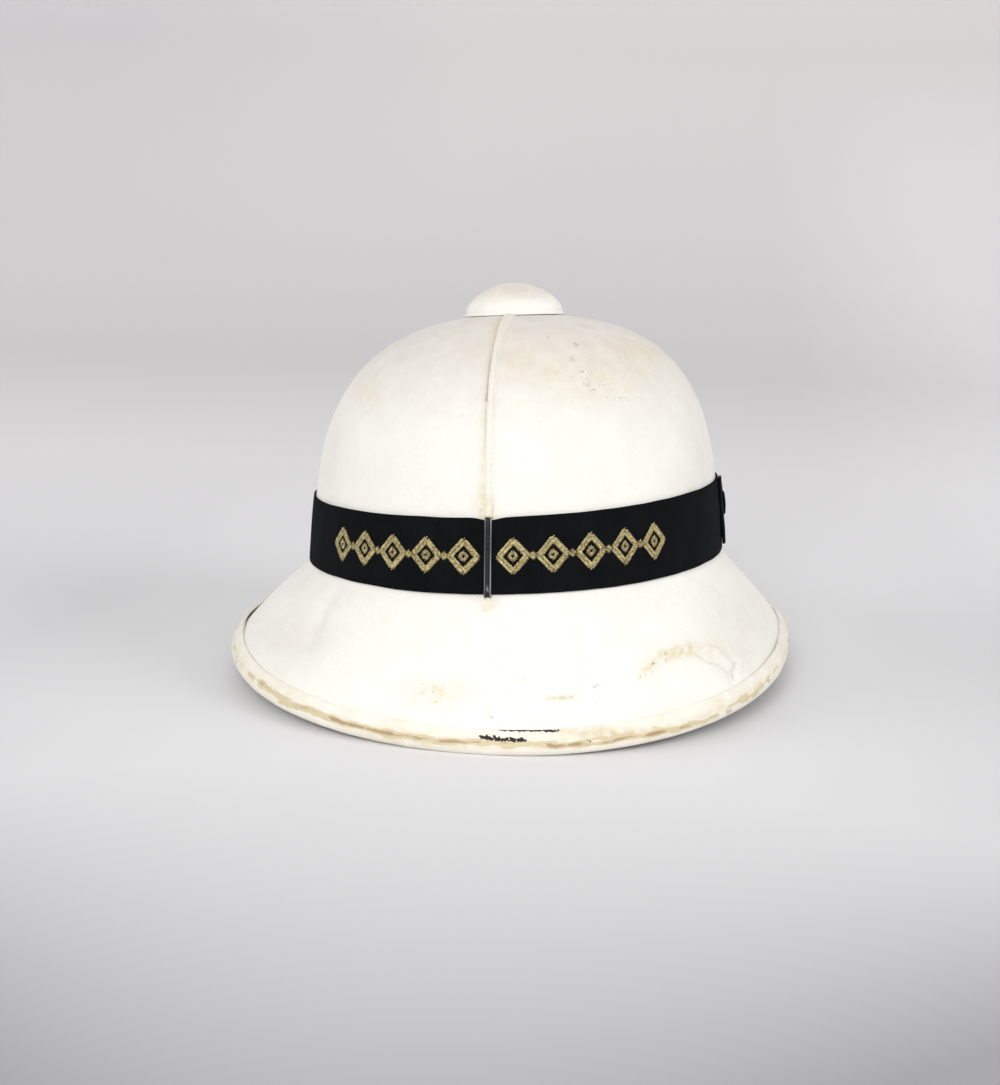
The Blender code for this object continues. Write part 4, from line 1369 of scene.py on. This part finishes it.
@dataclass
class LappedSeam:
    """Folded strip of the cover up the middle of the crown, sewn down with two rows of stitches."""

    form: HelmetForm
    relief: CoverRelief
    name: str
    node: str
    middle: float
    lowest: float
    swerve: float = 0.0
    width: float = 0.0032
    rise: float = 0.00105
    rows: int = 150
    button_reach: float = 0.0240
    stitch: StitchThread = StitchThread(spacing=0.0024, length=0.0017, thickness=0.00034)

    def climbs(self) -> Array:
        """Climbs of the rows from the button down to the ribbon."""
        middle = np.array(self.middle)
        rise = self.form.crown_top - float(self.form.waist_height(middle))
        rim = self.button_reach / float(self.form.waist_radius(middle))
        highest = (1.0 - (rim / (1.0 - self.form.taper)) ** self.form.squareness) ** (1.0 / self.form.shoulder)
        return np.cos(np.linspace(math.acos(highest), math.acos(self.lowest / rise), self.rows))

    def centre_line(self) -> tuple[Array, Array, Array]:
        """Points of the strip's middle on the cloth, the normals there and the directions across."""
        climb = self.climbs()
        middle = np.array(self.middle)
        rise = self.form.crown_top - float(self.form.waist_height(middle))
        side = 1.0 if math.cos(self.middle) > 0.0 else -1.0
        drift = self.swerve * bell(climb, 0.90, 0.30) + 0.00012 * ripple(
            np.stack([climb, climb * 0.0, climb * 0.0], -1), 0.06, 31)
        angle = self.middle + side * drift / self.form.waist_radius(np.full_like(climb, self.middle))
        point, normal, _ = self.form.crown_frame(angle, climb * rise)
        across = np.broadcast_to(np.array([side, 0.0, 0.0]), point.shape)
        return point, normal, across

    def on_strip(self, share: float, height: float) -> tuple[Array, Array]:
        """Line along the strip.

        Args:
            share: Place across it, -0.5 to 0.5 from the wearer's right to the left.
            height: Height over the cloth.

        Returns:
            Points and normals.
        """
        point, normal, across = self.centre_line()
        spread = self.width * (1.0 + 0.35 * smooth_step(self.climbs(), 0.90, 1.0))
        place = point + across * (share * spread)[..., None]
        lift = self.relief.at(place, normal) + height
        return place + normal * lift[..., None], normal

    def build(self, finish: bpy.types.Material, thread: bpy.types.Material) -> None:
        """Builds and dresses the strip and its stitches.

        Args:
            finish: Cloth of the seam.
            thread: White cotton.
        """
        # Third number of each point: strength of a painted shadow, a dark line along the strip's left edge.
        section = ((-0.50, -0.15, 0.9), (-0.50, 0.55, 0.9), (-0.46, 0.90, 0.45), (-0.36, 1.0, 0.10),
                   (-0.16, 0.97, 0.0), (0.0, 1.02, 0.0), (0.18, 0.96, 0.0), (0.36, 0.86, 0.0),
                   (0.50, 0.55, 0.0), (0.62, 0.20, 0.02), (0.70, -0.15, 0.02))
        columns, shadow_rows, normals = [], [], None
        climb = self.climbs()
        # The painted shadow is strongest high on the strip, below the button.
        worn = bell(climb, 0.84, 0.13)
        for share, height, edge_shadow in section:
            points, normals = self.on_strip(share, height * self.rise)
            columns.append(points)
            shadow_rows.append(edge_shadow * (0.10 + 1.15 * worn))
        points = np.stack(columns, 1)
        foot = smooth_step(-climb, -0.42, -0.30)[:, None]
        dark = np.stack(shadow_rows, 1)
        # The dark and fleck layers, and part of the tan, carry the painted shadow; the grey layer is painted shade
        # towards the crown's top.
        layers = {Trace.DARK.value: dark, Trace.FLECKS.value: 0.3 * dark,
                  Trace.TAN.value: 0.75 * foot + 0.25 * dark + 0.10,
                  Trace.GREY.value: np.broadcast_to((0.40 * smooth_step(points[..., 2], 0.112, 0.168)),
                                                    dark.shape).copy()}
        length = np.concatenate([[0.0], np.cumsum(np.linalg.norm(np.diff(points[:, 4], axis=0), axis=-1))])
        across = np.array([share for share, _, _ in section]) * self.width
        uv = np.stack(np.broadcast_arrays(across[None, :], length[:, None]), -1)
        grid = PointGrid(points, loop_columns=True, uv=uv, layers=layers,
                         first_pole=points[0].mean(0), last_pole=points[-1].mean(0))
        add_piece(f"{self.name}_fold", grid.mesh(f"{self.name}_fold"), finish, self.node)
        paths = []
        for share in (-0.34, 0.34):
            line, normal = self.on_strip(share, self.rise * 0.97)
            paths.append((line, normal, False))
        stitches = self.stitch.lay(f"{self.name}_stitches", paths, thread)
        add_piece(f"{self.name}_stitches", stitches, thread)


@dataclass(frozen=True)
class RibbonForm:
    """Where the ribbon runs; the clip pinches its top edge in front."""

    form: HelmetForm
    width: float = 0.0315
    thickness: float = 0.0010
    lift: float = 0.0015
    pinch: float = 0.0013
    pinch_spread: float = 0.0050

    def height(self, angle: Array, share: Array) -> Array:
        """Height above the waist; share is 0 at the lower edge and 1 at the upper."""
        from_clip = self.form.waist_radius(angle) * np.sin(angle)
        front = np.where(np.cos(angle) > 0.0, 1.0, 0.0)
        pinch = self.pinch * front * np.exp(-((from_clip / self.pinch_spread) ** 2))
        return self.lift + (self.width - pinch) * share

    def face(self, angle: Array, share: Array, above: float = 0.0) -> tuple[Array, Array, Array]:
        """Points on the ribbon's outer face or above it, with normals and upward directions."""
        angle, share = np.broadcast_arrays(np.asarray(angle, float), np.asarray(share, float))
        point, normal, up = self.form.crown_frame(angle, self.height(angle, share))
        return point + normal * (self.form.gap + self.thickness + above), normal, up

    def length(self) -> float:
        """Length of the ribbon's middle line round the crown."""
        angle = np.linspace(-math.pi, math.pi, 721)
        line = self.face(angle, np.full_like(angle, 0.5))[0]
        return float(np.linalg.norm(np.diff(line, axis=0), axis=-1).sum())

    def arc(self, distance: Array) -> Array:
        """Plan angles at distances along the ribbon from the clip, to the wearer's left."""
        angle = np.linspace(-math.pi, math.pi, 1441)
        line = self.face(angle, np.full_like(angle, 0.5))[0]
        length = np.concatenate([[0.0], np.cumsum(np.linalg.norm(np.diff(line, axis=0), axis=-1))])
        length -= np.interp(0.0, angle, length)
        return np.interp(distance, length, angle)


@dataclass
class HatRibbon:
    """Black ribbon stretched round the crown."""

    band: RibbonForm
    columns: int = 640
    rows: int = 15
    ends_wave: float = 0.00035

    def build(self, finish: bpy.types.Material) -> bpy.types.Object:
        """Args:
            finish: Ribbed silk.

        Returns:
            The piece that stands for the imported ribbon.
        """
        angle = np.linspace(-math.pi, math.pi, self.columns, endpoint=False)
        rows = []
        for share in np.linspace(1.0, 0.0, self.rows):
            point, normal, up = self.band.face(angle, np.full_like(angle, share))
            edge = 2.0 * share - 1.0
            wave = self.ends_wave * (0.6 * ripple(point, 0.030, 41) + 0.5 * ripple(point, 0.011, 42))
            stand = 0.00012 * ripple(point, 0.016, 43) - 0.00010 * abs(edge) ** 6
            rows.append(point + up * (wave * edge ** 3)[..., None] + normal * stand[..., None])
        points = np.array(rows)
        around = np.broadcast_to(angle / (2.0 * math.pi) * self.band.length(), points.shape[:2])
        down = np.broadcast_to(np.linspace(0.0, self.band.width, self.rows)[:, None], points.shape[:2])
        grid = PointGrid(points, uv=np.stack([around, down], -1), uv_period=(self.band.length(), 0.0))
        mesh = thickened(grid.mesh("ribbon_band"), self.band.thickness)
        mesh.set_sharp_from_angle(angle=math.radians(50.0))
        piece = add_piece("ribbon_band", mesh, finish, "ribbon")
        self.band.length()
        return piece


@dataclass
class GiltBorder:
    """Woven gilt-wire border of open lozenges with a small one in each, on both sides of the clip."""

    band: RibbonForm
    half_height: float = 0.0064
    half_width: float = 0.0060
    pitch: float = 0.0168
    first: float = 0.0104
    left_count: int = 5
    right_count: int = 5
    middle_share: float = 0.50
    stroke: float = 0.0030
    side_points: int = 10
    above: float = 0.00012

    def lozenge(self, centre: float, scale: float) -> tuple[Array, Array, bool]:
        """Closed path of one lozenge on the ribbon.

        Args:
            centre: Distance of its middle from the clip.
            scale: 1 for the outer outline.

        Returns:
            Points, normals and that the path is closed.
        """
        corners = ((0.0, 1.0), (1.0, 0.0), (0.0, -1.0), (-1.0, 0.0))
        across, upward = [], []
        for (x0, y0), (x1, y1) in zip(corners, corners[1:] + corners[:1]):
            for step in range(self.side_points):
                share = step / self.side_points
                across.append(x0 + (x1 - x0) * share)
                upward.append(y0 + (y1 - y0) * share)
        distance = centre + np.array(across) * self.half_width * scale
        height = self.middle_share + np.array(upward) * self.half_height * scale / self.band.width
        point, normal, _ = self.band.face(self.band.arc(distance), height, self.above)
        return point, normal, True

    def centres(self) -> list[float]:
        """Distances of the lozenges' middles from the clip."""
        right = [self.first + self.pitch * step for step in range(self.right_count)]
        left = [-self.first - self.pitch * step for step in range(self.left_count)]
        return left + right

    def build(self, finish: bpy.types.Material) -> bpy.types.Object:
        """Builds and dresses the border.

        Args:
            finish: Gilt wire.

        Returns:
            The piece.
        """
        outlines = [self.lozenge(centre, 1.0) for centre in self.centres()]
        middles = [self.lozenge(centre, 0.28) for centre in self.centres()]
        between = [self.lozenge(centre + self.pitch / 2.0, 0.18) for centre in self.centres()[:-1]
                   if abs(centre + self.pitch / 2.0) > self.first]
        aside = self.stroke * 0.21
        rows = []
        for side in (-1.0, 1.0):
            thread = StitchThread(spacing=0.00042, length=self.stroke * 0.74, thickness=0.00052,
                                  tilt=math.radians(90.0 - side * 38.0), shift=side * aside,
                                  seed=5 if side < 0.0 else 6)
            rows.append(thread.lay("gilt_outlines", outlines, finish))
        dots = StitchThread(spacing=0.00050, length=0.0021, thickness=0.00046, tilt=math.radians(70.0), seed=7)
        rows.append(dots.lay("gilt_middles", middles + between, finish))
        return add_piece("gilt_border", joined("gilt_border", rows), finish)


@dataclass
class RibbonClip:
    """Slim metal bar with rolled rims, hooked over both edges of the ribbon."""

    band: RibbonForm
    width: float = 0.0030
    thickness: float = 0.0006
    rim: float = 0.00030
    hook: float = 0.0011
    rivet_share: float = 0.83

    def path(self) -> tuple[Array, Array]:
        """Middle line of the bar's outer face from the upper hook to the lower, with its normals."""
        front = np.array(0.0)
        top = float(self.band.height(front, np.array(1.0)))
        bottom = float(self.band.height(front, np.array(0.0)))
        reach = self.band.form.gap + self.thickness
        face = 2.0 * self.band.form.gap + self.band.thickness + self.thickness
        bend = 0.0006
        line, ways = [], []

        def put(height: float, shift: float, stand: float, turn: float) -> None:
            """Adds a point of the line, whose normal leans by a turn towards the crown's top."""
            point, normal, up = self.band.form.crown_frame(front, np.array(height))
            line.append(point + up * shift + normal * stand)
            ways.append(normal * math.cos(turn) + up * math.sin(turn))

        put(top, reach, face - self.hook, math.pi / 2.0)
        put(top, reach, face - bend, math.pi / 2.0)
        put(top, reach - bend * 0.29, face - bend * 0.29, math.pi / 4.0)
        put(top, reach - bend, face, 0.0)
        for share in np.linspace(0.97, 0.03, 24):
            put(bottom + (top - bottom) * share, 0.0, face, 0.0)
        put(bottom, bend - reach, face, 0.0)
        put(bottom, bend * 0.29 - reach, face - bend * 0.29, -math.pi / 4.0)
        put(bottom, -reach, face - bend, -math.pi / 2.0)
        put(bottom, -reach, face - self.hook, -math.pi / 2.0)
        return np.array(line), np.array(ways)

    def build(self, finish: bpy.types.Material) -> bpy.types.Object:
        """Builds and dresses the clip.

        Args:
            finish: Darkened steel.

        Returns:
            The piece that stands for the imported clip.
        """
        line, ways = self.path()
        half = self.width / 2.0
        roll = [(half - self.rim + self.rim * math.cos(turn), self.rim * (1.0 + math.sin(turn)) - self.rim * 0.4)
                for turn in np.linspace(-0.5 * math.pi, math.pi, 9)]
        face = [(half - 2.0 * self.rim, 0.0), (0.0, 0.00002), (-half + 2.0 * self.rim, 0.0)]
        back = -self.thickness * 0.9
        section = roll + face + [(-x, y) for x, y in reversed(roll)] + [(-half * 0.85, back), (half * 0.85, back)]
        section.reverse()
        rows = [[point + np.array([x, 0.0, 0.0]) + way * y for x, y in section] for point, way in zip(line, ways)]
        points = np.array(rows)
        # Painted highlight on the rolled rims, stronger on the right rim than on the left and varying along the bar,
        # and a bright dot at the rivet.
        rim = np.array([0.0 if y <= 0.00012 else 0.95 if x > 0.0 else 0.42 for x, y in section])
        along = np.linspace(0.0, 1.0, len(line))[:, None]
        rivet = bell(along, self.rivet_share, 0.02) * np.array([1.0 if abs(x) < 0.0005 else 0.0 for x, _ in section])
        layers = {Trace.WEAR_AND_HIGHLIGHT.value: np.maximum(rim[None, :] * (0.75 + 0.25 * np.cos(9.0 * along)), rivet)}
        grid = PointGrid(points, first_pole=points[0].mean(0), last_pole=points[-1].mean(0), layers=layers)
        return add_piece("clip_bar", grid.mesh("clip_bar"), finish, "ribbon_clip")


@dataclass
class SideBow:
    """Flat bow over the wearer's left ear: two loops, a knot and one notched tail."""

    band: RibbonForm
    middle: float = math.radians(102.0)
    lift: float = 0.0018
    clearance: float = 0.0001
    cloth: float = 0.0006
    half_length: float = 0.0310
    full_height: float = 0.0310
    waist_height: float = 0.0100
    loop_depth: float = 0.0008
    pinched_depth: float = 0.0004
    full_share: float = 0.7
    knot_width: float = 0.0120
    knot_bulge: float = 0.0003
    tail_length: float = 0.0320
    tail_width: float = 0.0240
    tail_notch: float = 0.0070
    tail_drop: float = math.radians(4.0)

    def knot_edge(self) -> float:
        """Distance from the bow's middle to where the loops come out of the knot."""
        return self.knot_width / 2.0 + self.band.form.gap

    def place(self, forward: Array, above: Array, stand: Array) -> Array:
        """Points near the bow: forward along the ribbon, above its middle, out from its face."""
        angle = self.middle - forward / (self.band.form.crown_half_width + self.band.thickness)
        middle = self.band.height(np.array(self.middle), np.array(0.5)) + self.lift
        point, normal, up = self.band.form.crown_frame(angle, middle)
        out = self.band.form.gap + self.band.thickness + stand
        return point + up * np.asarray(above)[..., None] + normal * np.asarray(out)[..., None]

    def layer(self, forward: Array, at_end: Array, at_knot: float) -> Array:
        """Stand-off of a loop's layer: pinched near the knot and free at the end."""
        edge = self.knot_edge()
        return at_knot + (at_end - at_knot) * smooth_step(np.abs(forward), edge, edge + self.knot_width / 2.0)

    def half_height(self, forward: Array) -> Array:
        """Half of the loops' height: gathered at the knot, full at the ends."""
        ease = smooth_step(np.abs(forward), self.knot_edge(), self.half_length * self.full_share)
        return self.waist_height / 2.0 + (self.full_height - self.waist_height) / 2.0 * ease

    def loop_path(self) -> tuple[Array, Array]:
        """Once round both loops: forward distances and stand-offs."""
        half = self.cloth / 2.0
        gap = self.clearance
        knot_layer = 2.0 * gap + self.cloth + half
        front_layer = gap + half
        fold = self.loop_depth / 2.0
        straight = self.half_length - fold - half
        share = np.linspace(-1.0, 1.0, 61)
        forward = straight * share
        end = np.where(forward > 0.0, front_layer, knot_layer)
        outer = self.layer(forward, end + self.loop_depth, knot_layer + self.pinched_depth)
        inner = self.layer(forward, end, knot_layer)
        turn = np.linspace(0.0, math.pi, 9)[1:-1]
        front_fold = (straight + fold * np.sin(turn), front_layer + fold + fold * np.cos(turn))
        rear_fold = (-straight - fold * np.sin(turn[::-1]), knot_layer + fold + fold * np.cos(turn[::-1]))
        path = np.concatenate([forward, front_fold[0], forward[::-1], rear_fold[0]])
        stand = np.concatenate([outer, front_fold[1], inner[::-1], rear_fold[1]])
        return path, stand

    def build(self, finish: bpy.types.Material) -> None:
        """Args:
            finish: Ribbed silk.
        """
        self.build_loops(finish)
        self.build_knot(finish)
        self.build_tail(finish)

    def build_loops(self, finish: bpy.types.Material) -> None:
        """Both loops, with pleats that run out of the knot."""
        forward, stand = self.loop_path()
        levels = np.linspace(1.0, -1.0, 25)
        open_share = smooth_step(np.abs(forward), self.knot_edge(), self.half_length * 0.9)
        rows = []
        for level in levels:
            pleat = 0.00028 * np.cos(level * 3.0 * math.pi) * (1.0 - open_share)
            wave = 0.00045 * np.sin(forward / 0.0075 + 2.2 * level) * open_share
            above = level * self.half_height(forward) * (1.0 + 0.02 * np.sin(forward / 0.004))
            rows.append(self.place(forward, above, np.maximum(stand + pleat + 0.35 * wave, self.cloth * 0.55)))
        length = np.concatenate([[0.0], np.cumsum(np.hypot(np.diff(forward), np.diff(stand)))])
        uv = np.stack(np.broadcast_arrays(length[None, :], (levels * self.full_height / 2.0)[:, None]), -1)
        grid = PointGrid(np.array(rows), uv=uv, uv_period=(float(length[-1]), 0.0))
        mesh = thickened(grid.mesh("bow_loop_cloth"), self.cloth * 0.8, 0.0)
        piece = add_piece("bow_loop_cloth", mesh, finish, "bow_loops")

    def build_knot(self, finish: bpy.types.Material) -> None:
        """Band wrapped round the gathered middle, with three soft creases."""
        half = self.cloth / 2.0
        gap = self.clearance
        low = gap + half
        high = 3.0 * self.cloth + 3.0 * gap + self.pinched_depth + half
        tall = self.waist_height / 2.0 + gap + half
        corner_turns = np.linspace(0.0, math.pi / 2.0, 5)
        radius = self.cloth
        above = np.concatenate([np.linspace(-tall + radius, tall - radius, 7),
                                tall - radius + radius * np.sin(corner_turns),
                                tall - radius + radius * np.cos(corner_turns),
                                np.linspace(tall - radius, -tall + radius, 9)[1:-1],
                                -tall + radius - radius * np.sin(corner_turns),
                                -tall + radius - radius * np.cos(corner_turns)])
        crown = np.sin(np.linspace(0.0, math.pi, 9)[1:-1])
        stand = np.concatenate([np.full(7, low), low + radius - radius * np.cos(corner_turns),
                                high - radius + radius * np.sin(corner_turns), high + self.knot_bulge * crown,
                                high - radius + radius * np.cos(corner_turns),
                                low + radius - radius * np.sin(corner_turns)])
        rows = []
        shares = np.linspace(-0.5, 0.5, 17)
        for share in shares:
            crease = 0.00022 * math.cos(share * 5.0 * math.pi) - 0.00035 * abs(2.0 * share) ** 4
            outward = smooth_step(stand, high - 0.0008, high)
            rows.append(self.place(np.full_like(above, self.knot_width * share), above, stand + crease * outward))
        length = np.concatenate([[0.0], np.cumsum(np.hypot(np.diff(above), np.diff(stand)))])
        uv = np.stack(np.broadcast_arrays(length[None, :], (shares * self.knot_width)[:, None]), -1)
        grid = PointGrid(np.array(rows), uv=uv, uv_period=(float(length[-1]), 0.0))
        mesh = thickened(grid.mesh("bow_knot_cloth"), self.cloth * 0.8, 0.0)
        piece = add_piece("bow_knot_cloth", mesh, finish, "bow_knot")

    def build_tail(self, finish: bpy.types.Material) -> None:
        """Flat end behind the rear loop, notched like a swallow's tail."""
        stand = self.clearance + self.cloth / 2.0
        start = -self.knot_edge()
        share = np.linspace(0.0, 1.0, 33)
        levels = np.linspace(1.0, -1.0, 21)
        rows = []
        for level in levels:
            notch = self.tail_notch * (1.0 - abs(level)) * smooth_step(share, 0.0, 1.0)
            backward = self.tail_length * share - notch
            spread = self.waist_height + (self.tail_width - self.waist_height) * smooth_step(2.0 * share, 0.0, 1.0)
            above = level * spread / 2.0 - backward * math.tan(self.tail_drop)
            wave = 0.00012 * np.sin(backward / 0.004 + level) * share
            rows.append(self.place(start - backward, above, stand + np.abs(wave)))
        uv = np.stack(np.broadcast_arrays((share * self.tail_length)[None, :],
                                          (levels * self.tail_width / 2.0)[:, None]), -1)
        grid = PointGrid(np.array(rows)[:, ::-1], loop_columns=False, uv=uv[:, ::-1])
        mesh = thickened(grid.mesh("bow_tail_cloth"), self.cloth * 0.8, 0.0)
        piece = add_piece("bow_tail_cloth", mesh, finish, "bow_tail")


@dataclass(frozen=True)
class SoftLight:
    """Wide, even light from one direction."""

    name: str
    towards: tuple[float, float, float]
    strength: float
    spread: float = math.radians(38.0)

    def build(self) -> None:
        """Puts the light in the scene, in the direction that it comes from."""
        data = bpy.data.lights.new(self.name, "SUN")
        data.energy = self.strength
        data.angle = self.spread
        light = bpy.data.objects.new(self.name, data)
        light.location = self.towards
        light.rotation_mode = "QUATERNION"
        light.rotation_quaternion = (-Vector(self.towards)).to_track_quat("-Z", "Y")
        bpy.context.scene.collection.objects.link(light)


@dataclass(frozen=True)
class Studio:
    """Pale floor that rises softly far from the helmet, with painted shade, in even soft light."""

    middle: float = -1.6
    flat_radius: float = 2.2
    outer_radius: float = 5.8
    rise: float = 2.2
    floor_colour: Colour = (0.83, 0.825, 0.835)
    far_shade_colour: Colour = (0.575, 0.56, 0.565)
    wall_shade_colour: Colour = (0.50, 0.486, 0.486)
    shade_colour: Colour = (0.41, 0.405, 0.42)
    air_colour: Colour = (0.90, 0.895, 0.90)
    air_strength: float = 0.50
    lights: tuple[SoftLight, ...] = (
        SoftLight("front_light", (-0.10, -2.10, 0.87), 2.48),
        SoftLight("top_light", (0.15, -0.25, 2.20), 0.08),
        SoftLight("right_light", (2.00, -0.70, 0.82), 1.45),
        SoftLight("left_light", (-2.00, -0.60, 0.82), 0.82),
        SoftLight("back_light", (0.15, 1.30, 2.72), 0.14),
    )

    def build(self) -> None:
        """Builds the floor, the lights and the air."""
        self.build_floor()
        world = bpy.data.worlds.new("studio_air")
        world.use_nodes = True
        sky = world.node_tree.nodes["Background"]
        sky.inputs["Color"].default_value = (*self.air_colour, 1.0)
        sky.inputs["Strength"].default_value = self.air_strength
        bpy.context.scene.world = world
        for light in self.lights:
            light.build()
        bpy.context.scene.view_settings.view_transform = "Standard"

    def build_floor(self) -> None:
        """Floor with a soft rise all round, whose middle lies in front of the helmet."""
        radii = np.concatenate([np.linspace(0.05, self.flat_radius, 14),
                                np.linspace(self.flat_radius, self.outer_radius, 30)[1:]])
        angle = np.linspace(-math.pi, math.pi, 96, endpoint=False)
        share = np.clip((radii - self.flat_radius) / (self.outer_radius - self.flat_radius), 0.0, 1.0)
        heights = self.rise * share ** 3
        rows = np.array([np.stack([radius * np.sin(angle), self.middle - radius * np.cos(angle),
                                   np.full_like(angle, height)], -1) for radius, height in zip(radii, heights)])
        mesh = PointGrid(rows, first_pole=np.array([0.0, self.middle, 0.0])).mesh("studio_floor")
        mesh.materials.append(self.finish())
        floor = bpy.data.objects.new("studio_floor", mesh)
        bpy.context.scene.collection.objects.link(floor)

    def finish(self) -> bpy.types.Material:
        """Paint of the floor with painted shade: darker far behind the helmet and up the rise, close in front, high
        on the left and at the sides.

        Returns:
            The material.
        """
        tree = FinishTree("pale_floor")
        across, along, height = tree.node("ShaderNodeSeparateXYZ", {0: tree.place()}).outputs
        uneven = tree.math("MULTIPLY_ADD", tree.cloud(0.9, 2.0), 0.16, -0.08)
        # Painted shade: far behind the helmet the floor turns to the far shade colour and up the rise to the wall
        # shade colour; close in front, high on the left and at the sides it turns to the shade colour.
        far = tree.math("ADD", tree.between(along, -0.05, 1.1), uneven)
        far = tree.math("SUBTRACT", far, tree.between(across, 0.18, 0.42, 0.0, 0.35), clamp=True)
        colour = tree.blend(far, self.floor_colour, self.far_shade_colour)
        behind = tree.math("MULTIPLY", tree.between(along, 0.3, 1.5), tree.between(height, 0.01, 0.42))
        colour = tree.blend(behind, colour, self.wall_shade_colour)
        aside = tree.math("MULTIPLY", tree.math("MULTIPLY", across, across), 25.0)
        front = tree.math("POWER", tree.between(along, -0.12, -0.46), 2.0)
        near = tree.math("ADD", aside, tree.between(along, -0.5, -0.9, 0.85, 1.0))
        near = tree.math("MULTIPLY", front, near, clamp=True)
        away = tree.math("POWER", tree.math("MULTIPLY_ADD", along, along, tree.math("MULTIPLY", across, across)), 0.5)
        near = tree.math("MULTIPLY", near, tree.between(tree.math("DIVIDE", along, away), -0.1, -0.7))
        corner = tree.math("MULTIPLY", tree.between(across, -0.35, -1.0), tree.between(height, 0.05, 0.45, 0.0, 0.5))
        flank = tree.math("MINIMUM", tree.math("MULTIPLY", aside, 0.17), 0.25)
        flank = tree.math("MULTIPLY", flank, tree.between(along, 0.5, 0.1))
        flank = tree.math("MULTIPLY", flank, tree.between(away, 1.3, 0.5))
        shade = tree.math("MAXIMUM", tree.math("MAXIMUM", near, corner), flank)
        tree.paint(tree.blend(shade, colour, self.shade_colour))
        tree.shader.inputs["Roughness"].default_value = 0.9
        tree.shader.inputs["Specular IOR Level"].default_value = 0.2
        return tree.material


def corners(box: Iterable[Vector]) -> list[list[float]]:
    """Corners of a box as plain lists of numbers."""
    return [[float(value) for value in corner] for corner in box]


def main() -> None:
    logging.basicConfig(level=logging.INFO, format="%(name)s: %(message)s")
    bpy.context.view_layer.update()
    camera = PhotoCamera()
    camera.build()
    Studio().build()
    form = HelmetForm()
    cloth = WhitenedCloth().build()
    button_cloth = WhitenedCloth(name="button_cloth", white=(0.87, 0.845, 0.78), thread=0.00055).build()
    seam_cloth = WhitenedCloth(name="seam_cloth", white=(0.89, 0.87, 0.80), thread=0.00055, spotted=0.3).build()
    cotton = WhitenedCloth(name="white_cotton", white=(0.82, 0.80, 0.75), shade=(0.66, 0.62, 0.55),
                           thread=0.0003, spotted=0.0).build()
    silk = RibbedSilk().build()
    leather = WornLeather().build()
    gilt = MetalFinish("gilt_wire", (0.71, 0.61, 0.32), (0.16, 0.12, 0.045), 0.30, 0.82, 0.0008).build()
    # The steel's last colour is the painted highlight on the clip's rims.
    steel = MetalFinish("darkened_steel", (0.030, 0.031, 0.034), (0.012, 0.012, 0.013), 0.38, 0.60, 0.0020,
                        (0.36, 0.37, 0.38)).build()
    relief = CoverRelief(form, WearAndShadeChart(camera, COVER_MARKS))
    band = RibbonForm(form)
    CrownAndBrim(form, relief).build(cloth)
    EdgeBinding(form, WearAndShadeChart(camera, BINDING_MARKS)).build(leather)
    VentilatorButton(form, WearAndShadeChart(camera, BUTTON_MARKS)).build(button_cloth)
    top = float(band.height(np.array(0.0), np.array(1.0)))
    LappedSeam(form, relief, "front_seam", "front_seam", 0.0, top + 0.0012, swerve=-0.0018).build(seam_cloth, cotton)
    LappedSeam(form, relief, "back_seam", "back_seam", math.pi, band.lift + band.width + 0.0003).build(seam_cloth, cotton)
    HatRibbon(band).build(silk)
    GiltBorder(band).build(gilt)
    RibbonClip(band).build(steel)
    SideBow(band).build(silk)


if __name__ == "__main__":
    main()
